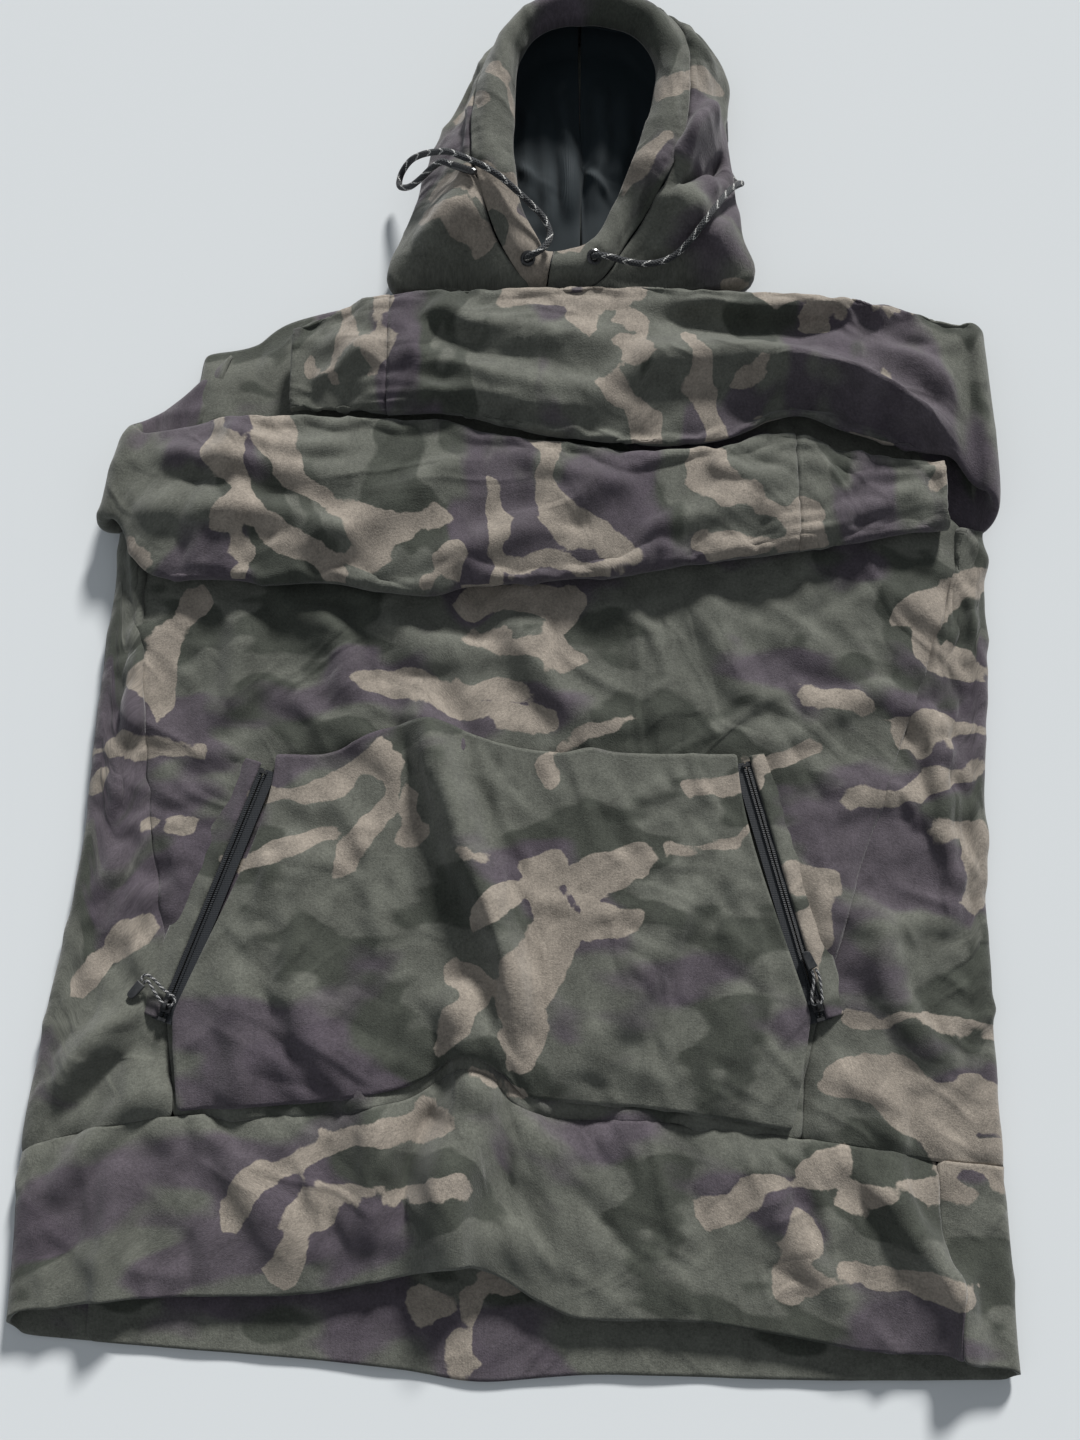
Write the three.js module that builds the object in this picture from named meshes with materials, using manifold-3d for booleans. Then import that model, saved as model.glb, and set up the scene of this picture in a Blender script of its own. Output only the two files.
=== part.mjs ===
// A hooded pullover sweatshirt laid on its back with both sleeves folded across the chest.
// Millimetres, +Z up. The hem is at -Y and the hood at +Y. Left and right are the wearer's,
// so the left sleeve starts on the +X side. Z = 0 is the surface that the garment lies on.
import * as THREE from "three";
import { mergeVertices } from "three/addons/utils/BufferGeometryUtils.js";
import Module from "manifold-3d";

const wasm = await Module();
wasm.setup();

// Driving dimensions
const FLEECE = 2.4; // brushed sweatshirt fleece
const JERSEY = 1.2; // hood lining
const SEAM_GAP = 0.6; // between two panels that meet at a seam
const BACK_Z = FLEECE / 2; // middle of the cloth that lies on the surface
const FRONT_Z = 13.8; // middle of the cloth on top of the body
const POCKET_Z = 19.6; // middle of the pouch pocket's cloth
const FOLD_R = (FRONT_Z - BACK_Z) / 2; // radius of the body's side folds
const HEM_TOP = -351; // where the back waistband starts
const ARMPIT_Y = 60;
const UNDER_WRAP = 62; // how far a side panel runs under the body at the waist
const CUFF_GAP = 0.8;
const ARMHOLE_GAP = 3.4; // a sleeve head's ring is square, so it keeps further off than a seam
const SLEEVE_LOW_Z = 17.6; // underside of the sleeves on the chest
const BAND_WIDTH = 26; // drawcord channel round the face opening
const BAND_PUFF = 4; // how far the cord and the seam make the band stand up
const CORD_R = 2.25;
const CORD_DEPTH = 6.7; // the hidden cord's middle below the band's
const ZIP = { length: 168, tapeHalf: 7.6, gap: 0.5, teeth: 1.5, stop: 2 };
// the body's half of a tape drops at its outer edge
const TAPE_Z = { low: 17.2, top: 18, drop: 1.8, dropFrom: 4.4 };
const TEETH_Z = { low: 18.3, top: 19.5 };
const SLIDER_UP = 7; // from the zip's foot to the closed slider's middle
const PULL_Z = 23.3; // the pull cord's middle, inside the slider's bridge
const PULL_CORD_R = 0.9;

// Outlines, as (x, y) stations on the surface
const WAIST_SEAM = [[-323, -347], [-235, -329], [-149, -323], [-87, -314], [-59, -298], [-42, -294],
  [-25, -303], [-6, -319], [68, -326], [111, -332], [160, -340], [203, -347], [290, -358]];
const HEM_FRONT = [[-323, -441], [-206, -428], [-145, -423], [-85, -412], [-43, -404], [0, -425],
  [24, -434], [84, -437], [126, -445], [186, -459], [245, -468], [292, -474]];
const HEM_BACK = [[-323, -455], [-238, -462], [-146, -469], [-85, -475], [-36, -482], [36, -478],
  [158, -481], [297, -481]];
const LEFT_SEAM = [[160, -340], [168, -299], [177, -266], [198, -200], [221, -135], [241, -78],
  [262, -20], [291, 60]];
const RIGHT_SEAM = [[-229, -329], [-237, -268], [-243, -207], [-254, -141], [-262, -76], [-266, -10],
  [-275, 60]];
const LEFT_EDGE = [[288, -358], [287, -263], [289, -193], [295, -94], [303, 10], [306, 60]];
const RIGHT_EDGE = [[-322, -347], [-314, -256], [-303, -193], [-297, -128], [-294, -60], [-291, 10],
  [-290, 60]];
const LEFT_ARMHOLE = [[291, 60], [274, 84], [263, 120], [260, 165], [264, 208]];
const RIGHT_ARMHOLE = [[-275, 60], [-262, 84], [-250, 120], [-242, 160], [-240, 198]];
const NECK_AND_SHOULDERS = [[-240, 198], [-206, 204], [-179, 224], [-108, 240], [-60, 233], [10, 227],
  [80, 232], [150, 242], [215, 230], [264, 208]];
const POCKET_TOP = [[-174, -98], [-138, -97], [-110, -84], [-84, -77], [-60, -79], [-26, -91],
  [13, -97], [33, -93], [56, -97], [130, -98]];
const RIGHT_SLEEVE_LOW = [[-286, 64], [-264, 26], [-193, 19], [-140, 17], [-76, 8], [-47, 15],
  [13, 20], [107, 32], [178, 42], [277, 58]];
const RIGHT_SLEEVE_TOP = [[-286, 126], [-262, 132], [-227, 137], [-163, 138], [-102, 135], [-67, 134],
  [-27, 124], [40, 114], [73, 111], [120, 114], [178, 124], [215, 110], [277, 106]];
const LEFT_SLEEVE_LOW = [[-174, 141], [-104, 138], [-67, 138], [-27, 127], [40, 117], [73, 114],
  [120, 117], [174, 136], [207, 127], [240, 118], [272, 112], [299, 108]];
const LEFT_SLEEVE_TOP = [[-174, 205], [-104, 229], [-27, 233], [41, 236], [109, 233], [210, 227],
  [270, 219], [299, 211]];
const SLEEVE_HEIGHT = 25;

// The hood's face opening and its outline, both round one centre
const HOOD_CENTRE = [30, 350];
const OPENING = [[6, 262], [38, 271], [55, 303], [71, 334], [83, 375], [86, 410], [68, 438], [34, 447],
  [2, 440], [-17, 415], [-21, 375], [-22, 334], [-17, 302], [-4, 274]];
const HOOD_OUTLINE = [[10, 234], [80, 239], [150, 249], [146, 285], [143, 324], [138, 383], [140, 412],
  [128, 440], [95, 468], [50, 482], [5, 474], [-30, 448], [-62, 391], [-84, 341], [-93, 300],
  [-108, 247], [-60, 240]];
const RIM = { low: 34, high: 50 }; // height of the opening's edge at the neck and elsewhere
const HOOD_UNDER = 18; // how far the hood's side panels run under it
const EYELET = { bore: 2.6, barrel: 3.2, hole: 3.6, flange: 5.6 };

// Free cord ends, from the eyelet to just short of the tip
const LEFT_CORD = [[37.8, 258, 34], [38.6, 256.1, 40.2], [41.5, 254, 44.6], [48, 252.5, 45.5],
  [58, 251, 43], [70, 251, 39], [83, 253, 37], [95, 258, 38], [106, 267, 43], [116, 279, 48],
  [124, 291, 46], [131, 303, 41], [138, 314, 35], [145, 323, 27], [147.5, 331, 16], [145, 339, 6],
  [141.5, 349, 2.7], [139, 362, 2.7], [139, 376, 2.7]];
const RIGHT_CORD = [[-7.2, 257.2, 34], [-8.9, 254.7, 39.8], [-7, 253.6, 44.6], [-1, 255.5, 47],
  [5, 262, 46.5], [7, 272, 44], [2, 284, 45], [-7, 292, 49], [-17, 299, 54.5], [-28, 306, 60],
  [-40, 313, 62], [-53, 321, 60], [-65, 330, 54], [-76, 337, 44], [-86, 342, 34], [-95, 344, 24],
  [-102, 339, 16], [-103, 329, 16], [-95, 322, 25], [-86, 320, 37], [-77, 321, 48], [-69, 320, 56.5],
  [-61, 315.5, 59]];
const CORD_TIP = { radius: 2.6, length: 19, chamfer: 2, gap: 0.35 };

const degrees = THREE.MathUtils.degToRad;
const vector = (p) => new THREE.Vector3(...p);
const mix = (a, b, t) => a + (b - a) * t;
const smooth = (a, b, x) => THREE.MathUtils.smoothstep(x, a, b);

// y at x on a line of stations, or x at y when key is 1
function along(line, value, key = 0) {
  const other = 1 - key;
  let k = 1;
  while (k < line.length - 1 && value > line[k][key]) k += 1;
  const [a, b] = [line[k - 1], line[k]];
  const t = THREE.MathUtils.clamp((value - a[key]) / (b[key] - a[key]), 0, 1);
  return mix(a[other], b[other], t);
}

const spline = (line) => {
  const curve = new THREE.SplineCurve(line.map(([x, y]) => new THREE.Vector2(x, y)));
  return (share) => curve.getPointAt(share).toArray();
};

const shares = (count) => Array.from({ length: count }, (_, k) => k / (count - 1));

function colour(hex, roughness = 0.95, metalness = 0) {
  return new THREE.MeshStandardMaterial({ color: hex, roughness, metalness });
}
const CAMO = colour(0x55564f);
const LINING = colour(0x1c2227);
const BLACK_CORD = colour(0x16181b, 0.8);
const BLACK_METAL = colour(0x101113, 0.35, 0.8);
const BLACK_PLASTIC = colour(0x14161a, 0.45);
const BLACK_TAPE = colour(0x1a2026, 0.7);

const garment = new THREE.Group();

function part(name, geometry, material, parent = garment) {
  const mesh = new THREE.Mesh(geometry, material);
  mesh.name = name;
  parent.add(mesh);
  return mesh;
}

// Closed cloth: a grid of points in its middle, given a thickness.
// closed joins the last column to the first.
function cloth(grid, thickness, closed = false) {
  const [rows, columns] = [grid.length, grid[0].length];
  const at = (i, j) => grid[i][closed ? (j + columns) % columns : THREE.MathUtils.clamp(j, 0, columns - 1)];
  const positions = [];
  for (const side of [1, -1])
    for (let i = 0; i < rows; i += 1)
      for (let j = 0; j < columns; j += 1) {
        const down = at(Math.min(i + 1, rows - 1), j).clone().sub(at(Math.max(i - 1, 0), j));
        const across = at(i, j + 1).clone().sub(at(i, j - 1));
        const normal = down.cross(across).normalize();
        positions.push(...at(i, j).clone().addScaledVector(normal, (side * thickness) / 2).toArray());
      }
  const top = (i, j) => i * columns + (j % columns);
  const low = (i, j) => rows * columns + top(i, j);
  const index = [];
  const quad = (a, b, c, d) => index.push(a, b, c, a, c, d);
  const spans = closed ? columns : columns - 1;
  for (let i = 0; i < rows - 1; i += 1)
    for (let j = 0; j < spans; j += 1) {
      quad(top(i, j), top(i + 1, j), top(i + 1, j + 1), top(i, j + 1));
      quad(low(i, j), low(i, j + 1), low(i + 1, j + 1), low(i + 1, j));
    }
  for (let j = 0; j < spans; j += 1) {
    quad(top(0, j), top(0, j + 1), low(0, j + 1), low(0, j));
    quad(top(rows - 1, j + 1), top(rows - 1, j), low(rows - 1, j), low(rows - 1, j + 1));
  }
  for (let i = 0; i < rows - 1 && !closed; i += 1) {
    quad(top(i, 0), low(i, 0), low(i + 1, 0), top(i + 1, 0));
    const j = columns - 1;
    quad(top(i + 1, j), low(i + 1, j), low(i, j), top(i, j));
  }
  const geometry = new THREE.BufferGeometry();
  geometry.setAttribute("position", new THREE.Float32BufferAttribute(positions, 3));
  geometry.setIndex(index);
  return geometry;
}

const gridOf = (rows, columns, point) => rows.map((v) => columns.map((u) => vector(point(v, u))));

// A patch between four curves: bottom and top run along +X, left and right along +Y
function patch(rows, columns, { bottom, top, left, right }, height) {
  return gridOf(rows, columns, (v, u) => {
    const [b, t, l, r] = [bottom(u), top(u), left(v), right(v)];
    const [x, y] = [0, 1].map((k) =>
      mix(b[k], t[k], v) + mix(l[k], r[k], u)
      - mix(mix(bottom(0)[k], bottom(1)[k], u), mix(top(0)[k], top(1)[k], u), v));
    return [x, y, height(u, v)];
  });
}

const flat = (outline, thickness) => {
  const shape = new THREE.Shape(outline.map(([x, y]) => new THREE.Vector2(x, y)));
  return new THREE.ExtrudeGeometry(shape, { depth: thickness, bevelEnabled: false });
};

function solidOf(geometry) {
  const bare = geometry.clone();
  ["normal", "uv"].forEach((name) => bare.deleteAttribute(name));
  const merged = mergeVertices(bare, 1e-4);
  return new wasm.Manifold(new wasm.Mesh({
    numProp: 3,
    vertProperties: new Float32Array(merged.attributes.position.array),
    triVerts: new Uint32Array(merged.index.array),
  }));
}

function geometryOf(solid) {
  const mesh = solid.getMesh();
  const geometry = new THREE.BufferGeometry();
  geometry.setAttribute("position", new THREE.BufferAttribute(new Float32Array(mesh.vertProperties), 3));
  geometry.setIndex(new THREE.BufferAttribute(new Uint32Array(mesh.triVerts), 1));
  return geometry;
}

const union = (...geometries) => geometryOf(geometries.map(solidOf).reduce((a, b) => a.add(b)));
const placed = (geometry, x, y, z) => geometry.clone().translate(x, y, z);

// Tube of a round section along a list of points
function cordAlong(points, radius, sides = 8, steps = 48) {
  const path = new THREE.CatmullRomCurve3(points.map(vector));
  const section = new THREE.Shape(Array.from({ length: sides }, (_, k) => {
    const a = (2 * Math.PI * k) / sides;
    return new THREE.Vector2(radius * Math.cos(a), radius * Math.sin(a));
  }));
  return new THREE.ExtrudeGeometry(section, { steps, extrudePath: path, bevelEnabled: false });
}

// Body

const stationsOf = (line, from, to, more = []) => {
  const inner = [...line.map(([x]) => x), ...more].filter((x) => x > from + 1 && x < to - 1);
  return [from, ...inner.sort((a, b) => a - b), to];
};
const SEAM_ROWS = shares(9);
const ARMHOLE_ROWS = shares(5);
const WAIST_FROM = RIGHT_SEAM[0][0];
const WAIST_TO = LEFT_SEAM[0][0];
const WAIST_STATIONS = stationsOf(WAIST_SEAM, WAIST_FROM, WAIST_TO, [-190, -118, 30, 90, 136]);

function buildFrontPanel() {
  const split = (SEAM_ROWS.length - 1) / (SEAM_ROWS.length + ARMHOLE_ROWS.length - 2);
  const rows = [...SEAM_ROWS.map((v) => v * split), ...ARMHOLE_ROWS.slice(1).map((v) => mix(split, 1, v))];
  const side = (seamLine, armholeLine) => {
    const [seam, armhole] = [spline(seamLine), spline(armholeLine)];
    return (v) => (v <= split ? seam(v / split) : armhole((v - split) / (1 - split)));
  };
  const bottom = (u) => {
    const x = mix(WAIST_FROM, WAIST_TO, u);
    return [x, along(WAIST_SEAM, x)];
  };
  const top = spline(NECK_AND_SHOULDERS);
  const [left, right] = [side(RIGHT_SEAM, RIGHT_ARMHOLE), side(LEFT_SEAM, LEFT_ARMHOLE)];
  const columns = WAIST_STATIONS.map((x) => (x - WAIST_FROM) / (WAIST_TO - WAIST_FROM));
  const drop = (u, v) => {
    const neck = smooth(0.22, 0.3, u) * (1 - smooth(0.7, 0.78, u));
    return mix(FRONT_Z, mix(4.6, 12, neck), smooth(0.93, 1, v));
  };
  part("front_panel", cloth(patch(rows, columns, { bottom, top, left, right }, drop), FLEECE), CAMO);
}

const underSeam = (side, y) => {
  const wrap = mix(UNDER_WRAP, 20, smooth(HEM_TOP, ARMPIT_Y, y));
  return along(side > 0 ? LEFT_EDGE : RIGHT_EDGE, y, 1) - side * wrap;
};

// Section of a side panel: top leg, fold and the leg that runs under the body
function sidePoint(side, seam, edge, under, u) {
  const leg = 0.35;
  const foldX = edge - side * FOLD_R;
  if (u < leg) return [mix(seam, foldX, u / leg), FRONT_Z];
  if (u > 1 - leg) return [mix(foldX, under, (u - 1 + leg) / leg), BACK_Z];
  const angle = (Math.PI * (u - leg)) / (1 - 2 * leg);
  return [foldX + side * FOLD_R * Math.sin(angle), BACK_Z + FOLD_R * (1 + Math.cos(angle))];
}

// One row of points round a side panel, which starts at the seam with the front panel
function sideRow(side, seamLine, v) {
  const [edgeLine, seam] = [side > 0 ? LEFT_EDGE : RIGHT_EDGE, spline(seamLine)];
  const [seamX, seamY] = seam(v);
  const [waistX, waistY] = seam(0);
  const risen = (seamY - waistY) / (ARMPIT_Y - waistY);
  return shares(12).map((u) => {
    const section = (x, y) =>
      sidePoint(side, x + side * SEAM_GAP, along(edgeLine, y, 1), underSeam(side, y), u);
    const [x, z] = section(seamX, seamY);
    const [columnX] = section(waistX, waistY);
    return vector([x, seamY + (along(WAIST_SEAM, columnX) - waistY) * (1 - risen), z]);
  });
}

function buildBodySidesAndBack() {
  const rows = (side, line) => SEAM_ROWS.map((v) => sideRow(side, line, v));
  const [left, right] = [rows(1, LEFT_SEAM), rows(-1, RIGHT_SEAM)];
  part("side_panel_left", cloth(left, FLEECE), CAMO);
  part("side_panel_right", cloth(right, FLEECE), CAMO);
  const inner = (grid, side) => grid.map((row) => {
    const last = row.at(-1);
    return [last.x - side * SEAM_GAP, Math.max(last.y, HEM_TOP + SEAM_GAP)];
  });
  const outline = [...inner(left, 1), ...LEFT_ARMHOLE.slice(2, -1), ...[...NECK_AND_SHOULDERS].reverse(),
    ...RIGHT_ARMHOLE.slice(2, -1).reverse(), ...inner(right, -1).reverse()];
  part("back_panel", flat(outline, FLEECE), CAMO);
}

// The waistband is one tube in two parts: its seams are on the front near the left side,
// and under the body near the right side.
const BAND_SEAM_X = 250;
const BAND_UNDER_X = -276;

// where the side folds start, and the length of cloth round one fold
const [BAND_LEFT, BAND_RIGHT] = [LEFT_EDGE[0][0] - FOLD_R, RIGHT_EDGE[0][0] + FOLD_R];
const BAND_TOP = BAND_LEFT - BAND_RIGHT;
const FOLD_ARC = Math.PI * FOLD_R;

// A point at that distance round the band from the start of its right fold; v is 0 at the
// waist seam and 1 at the hem
function bandPoint(v, distance) {
  let [x, z, turned] = [BAND_RIGHT + distance, FRONT_Z, 0];
  if (distance < 0 || distance > BAND_TOP) {
    const side = distance < 0 ? -1 : 1;
    const round = side < 0 ? -distance : distance - BAND_TOP;
    const angle = Math.min(round / FOLD_R, Math.PI);
    const past = Math.max(round - FOLD_ARC, 0);
    x = (side < 0 ? BAND_RIGHT : BAND_LEFT) + side * (FOLD_R * Math.sin(angle) - past);
    z = BACK_Z + FOLD_R * (1 + Math.cos(angle));
    turned = angle / Math.PI;
  }
  const seam = along(WAIST_SEAM, x) - SEAM_GAP;
  const upper = Math.min(seam, mix(seam, HEM_TOP - SEAM_GAP, turned));
  const lower = mix(along(HEM_FRONT, x), along(HEM_BACK, x), turned);
  return [x, mix(upper, lower, v), z];
}

function buildWaistband() {
  const fold = (from) => [1, 2, 3, 4].map((k) => from + (FOLD_ARC * k) / 5);
  const more = [-285, -257, 190, 220];
  const onTop = stationsOf(WAIST_STATIONS.map((x) => [x]), BAND_RIGHT, BAND_SEAM_X, more);
  const front = [-FOLD_ARC - (BAND_UNDER_X - BAND_RIGHT), -FOLD_ARC, ...fold(-FOLD_ARC),
    ...onTop.map((x) => x - BAND_RIGHT)];
  const underFrom = BAND_TOP + FOLD_ARC;
  const underTo = underFrom + BAND_LEFT - BAND_UNDER_X - SEAM_GAP;
  const back = [BAND_SEAM_X + SEAM_GAP - BAND_RIGHT, BAND_TOP, ...fold(BAND_TOP),
    ...shares(9).map((t) => mix(underFrom, underTo, t))];
  for (const [name, list] of [["waistband_front", front], ["waistband_back", back]]) {
    const grid = shares(4).map((v) => list.map((distance) => vector(bandPoint(v, distance))));
    part(name, cloth(grid, FLEECE), CAMO);
  }
}

// Pouch pocket and its zips

// A pull's cord is a loop through the slider's bridge, given in the slider's own frame
const ZIPS = {
  left: {
    side: 1,
    foot: [176, -266],
    head: [134, -100],
    pocketCorner: 156,
    pocketBelow: 171,
    loop: [[2.5, 21], [2.5, 17], [0.9, 11.8], [-1.7, 6.8], [-3, 2.5], [-1.8, 0], [1.8, 0], [3.6, 1.9],
      [4.4, 6.5], [5.6, 12], [5.9, 17], [5.1, 21.4]],
    grip: { at: [3.8, 21.2], turn: 10 },
  },
  right: {
    side: -1,
    foot: [-237, -266],
    head: [-178, -100],
    pocketCorner: -225,
    pocketBelow: -232,
    loop: [[-18.3, 7.1], [-18, 8.7], [-16.6, 9.4], [-13.6, 7.4], [-9, 3.9], [-4.4, 1], [-1.8, 0], [1.8, 0],
      [4.2, 1.8], [3.6, 5.2], [0, 6.4], [-6, 8.2], [-13, 11.5], [-18, 12.8], [-20.6, 11.3], [-20.7, 8]],
    grip: { at: [-19.5, 7.6], turn: 160 },
  },
};

function buildPocket() {
  const lift = 3; // the pocket's foot stops short of the waist seam
  const besideZip = 4.8; // clear of the slider, which is 3.35 mm to a side
  const edge = ({ side, foot, head, pocketCorner, pocketBelow }) => {
    const line = [[pocketCorner, along(WAIST_SEAM, pocketCorner) + lift], [pocketBelow, foot[1] - 4],
      [head[0] - side * besideZip, head[1] + 2]];
    return (v) => {
      const y = mix(line[0][1], line[2][1], v);
      return [along(line, y, 1), y];
    };
  };
  const [from, to] = [ZIPS.right.pocketCorner, ZIPS.left.pocketCorner];
  const bottom = (u) => [mix(from, to, u), along(WAIST_SEAM, mix(from, to, u)) + lift];
  const edges = { bottom, top: spline(POCKET_TOP), left: edge(ZIPS.right), right: edge(ZIPS.left) };
  const stations = stationsOf(WAIST_SEAM, from, to, [-190, -118, 30, 90]);
  const columns = stations.map((x) => (x - from) / (to - from));
  part("pocket_panel", cloth(patch(shares(9), columns, edges, () => POCKET_Z), FLEECE), CAMO);
}

// A bar along a zip: a section in (across, up), pushed out along the zip
function bar(section, from, to) {
  const shape = new THREE.Shape(section.map(([x, z]) => new THREE.Vector2(x, z)));
  const geometry = new THREE.ExtrudeGeometry(shape, { depth: to - from, bevelEnabled: false });
  return geometry.rotateX(Math.PI / 2).translate(0, to, 0);
}

const box = (width, length, height, x, y, z) =>
  placed(new THREE.BoxGeometry(width, length, height), x, y, z);

function tapeSection(side, dropped) {
  const { low, top, drop, dropFrom } = TAPE_Z;
  const outer = dropped
    ? [[dropFrom, top], [ZIP.tapeHalf, top - drop], [ZIP.tapeHalf, low - drop], [dropFrom, low]]
    : [[ZIP.tapeHalf, top], [ZIP.tapeHalf, low]];
  return [[ZIP.gap, low], [ZIP.gap, top], ...outer].map(([x, z]) => [side * x, z]);
}

// Two plates joined by a post, with side flanges and an arched bridge for the pull
function buildSlider() {
  const [outer, inner] = [3.2, 2.1];
  const arch = new THREE.Shape();
  arch.moveTo(-outer, 0).lineTo(-outer, 2.6);
  arch.absarc(0, 2.6, outer, Math.PI, 0, true);
  arch.lineTo(outer, 0).lineTo(inner, 0).lineTo(inner, 1.6);
  arch.absarc(0, 1.6, inner, 0, Math.PI, false);
  arch.lineTo(-inner, 0);
  const bridge = new THREE.ExtrudeGeometry(arch, { depth: 2, bevelEnabled: false, curveSegments: 6 })
    .translate(0, 0, -1).rotateX(Math.PI / 2).rotateZ(Math.PI / 2).translate(0, 0, 21.2);
  const topPlate = box(6.6, 9.4, 1.2, 0, 0, 20.9);
  const lowPlate = box(6, 8.6, 1, 0, 0, 16.2);
  const post = box(0.5, 2.4, 4.2, 0, -3, 18.5);
  const flanges = [3, -3].map((x) => box(0.7, 8.6, 0.6, x, 0, 20.2));
  return union(topPlate, lowPlate, post, ...flanges, bridge);
}

function pullGrip() {
  const shape = new THREE.Shape();
  shape.moveTo(-2.6, 0).lineTo(-2.2, 8.4);
  shape.quadraticCurveTo(-2, 10.6, 0, 10.6);
  shape.quadraticCurveTo(2, 10.6, 2.2, 8.4);
  shape.lineTo(2.6, 0);
  return new THREE.ExtrudeGeometry(shape, {
    depth: 2, bevelThickness: 0.5, bevelSize: 0.5, bevelSegments: 1, curveSegments: 4,
  }).translate(0, 1.2, -1);
}

function buildZip(name, { side, foot, head, loop, grip }) {
  const zip = new THREE.Group();
  zip.position.set(foot[0], foot[1], 0);
  zip.rotation.z = Math.atan2(head[1] - foot[1], head[0] - foot[0]) - Math.PI / 2;
  garment.add(zip);
  for (const [half, sign] of [["pocket", -side], ["body", side]]) {
    const tape = bar(tapeSection(sign, half === "body"), -4, ZIP.length);
    part(`zip_tape_${name}_${half}_side`, tape, BLACK_TAPE, zip);
    const [near, far] = [sign * ZIP.gap, sign * (ZIP.gap + ZIP.teeth)];
    const row = [[near, TEETH_Z.low], [near, TEETH_Z.top], [far, TEETH_Z.top], [far, TEETH_Z.low]];
    const teeth = bar(row, -1, ZIP.length - 4);
    part(`zip_teeth_${name}_${half}_side`, teeth, BLACK_PLASTIC, zip);
  }
  const stop = (y) => box(5, ZIP.stop, 1.6, 0, y, 19.2);
  part(`zip_top_stop_${name}`, stop(ZIP.length - 2.4), BLACK_METAL, zip);
  part(`zip_bottom_stop_${name}`, stop(-2.6), BLACK_METAL, zip);
  part(`zip_slider_${name}`, placed(buildSlider(), 0, SLIDER_UP, 0), BLACK_METAL, zip);
  const pull = new THREE.Group();
  pull.position.set(0, SLIDER_UP, PULL_Z);
  zip.add(pull);
  const pullCord = cordAlong(loop.map(([x, y]) => [x, y, 0]), PULL_CORD_R, 8, 40);
  part(`zip_pull_cord_${name}`, pullCord, BLACK_CORD, pull);
  const turned = pullGrip().rotateZ(degrees(grip.turn)).translate(grip.at[0], grip.at[1], 0);
  part(`zip_pull_grip_${name}`, turned, BLACK_PLASTIC, pull);
}

// Sleeves: flattened tubes across the chest, with rings at stations of x

function sleeveRing(x, low, top, bottomZ, height, sides = 14) {
  const [middleY, middleZ] = [(low + top) / 2, bottomZ + height / 2];
  const [halfWidth, halfHeight] = [(top - low - FLEECE) / 2, (height - FLEECE) / 2];
  const power = 0.62; // under 1 the section is flatter than an ellipse
  const flattened = (value) => Math.sign(value) * Math.abs(value) ** power;
  return Array.from({ length: sides }, (_, k) => {
    const a = (2 * Math.PI * k) / sides;
    const [y, z] = [flattened(Math.cos(a)), flattened(Math.sin(a))];
    return vector([x, middleY + halfWidth * y, middleZ + halfHeight * z]);
  });
}

function sleeveTube(lowLine, topLine, from, to, stations, rise, height) {
  const rings = Array.from({ length: stations }, (_, i) => {
    const t = i / (stations - 1);
    const x = mix(from, to, t);
    return sleeveRing(x, along(lowLine, x), along(topLine, x), SLEEVE_LOW_Z + rise(t), height(t));
  });
  if (to > from) rings.reverse();
  return cloth(rings, FLEECE, true);
}

// x of each sleeve's fold, of its cuff seam and of its cuff's mouth
const RIGHT_SLEEVE = { fold: -286, cuff: 177, mouth: 277 };
const LEFT_SLEEVE = { fold: 299, cuff: -104, mouth: -172 };
const LEFT_LIFT = 5; // the left sleeve lies partly on the right one

function buildSleeves() {
  const swell = (t) => mix(14, SLEEVE_HEIGHT, smooth(0, 0.16, t));
  const taper = (t) => mix(SLEEVE_HEIGHT, 18, t);
  const build = (name, lines, { fold, cuff, mouth }, rise, cuffRise) => {
    const gap = Math.sign(mouth - cuff) * CUFF_GAP;
    part(`sleeve_${name}`, sleeveTube(...lines, fold, cuff, 14, rise, swell), CAMO);
    part(`cuff_${name}`, sleeveTube(...lines, cuff + gap, mouth, 5, () => cuffRise, taper), CAMO);
  };
  build("right", [RIGHT_SLEEVE_LOW, RIGHT_SLEEVE_TOP], RIGHT_SLEEVE, () => 0, 0);
  const lift = (t) => mix(0, LEFT_LIFT, smooth(0.05, 0.3, t));
  build("left", [LEFT_SLEEVE_LOW, LEFT_SLEEVE_TOP], LEFT_SLEEVE, lift, LEFT_LIFT);
}

// The sleeve heads stay with the body: short flat tubes from each armhole to the fold line
function buildSleeveHead(name, armhole, foldX, foldLow, foldTop) {
  const [low, top] = [armhole[0][1] + 6, armhole.at(-1)[1] - 1];
  const [bottomZ, height] = [0.2, 15.4];
  const side = Math.sign(foldX);
  const rings = [0, 0.35, 0.7, 1].map((t) => {
    const ring = sleeveRing(0, mix(low, foldLow, t), mix(top, foldTop, t), bottomZ, height);
    return ring.map((p) => {
      const start = along(armhole, p.y, 1) + side * ARMHOLE_GAP;
      return new THREE.Vector3(mix(start, foldX - side * SEAM_GAP, t), p.y, p.z);
    });
  });
  if (side > 0) rings.reverse();
  part(name, cloth(rings, FLEECE, true), CAMO);
}

// Hood

// A smooth closed outline as (angle, radius) round the hood's centre
const polar = (points) => {
  const curve = new THREE.CatmullRomCurve3(points.map(([x, y]) => vector([x, y, 0])), true);
  return curve.getPoints(240).slice(1).map(({ x, y }) => {
    const [dx, dy] = [x - HOOD_CENTRE[0], y - HOOD_CENTRE[1]];
    return [Math.atan2(dy, dx), Math.hypot(dx, dy)];
  }).sort((a, b) => a[0] - b[0]);
};
const OPENING_POLAR = polar(OPENING);
const OUTLINE_POLAR = polar(HOOD_OUTLINE);

function radiusAt(line, angle) {
  const turn = 2 * Math.PI;
  const wrapped = ((((angle - line[0][0]) % turn) + turn) % turn) + line[0][0];
  return along([...line, [line[0][0] + turn, line[0][1]]], wrapped);
}

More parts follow.
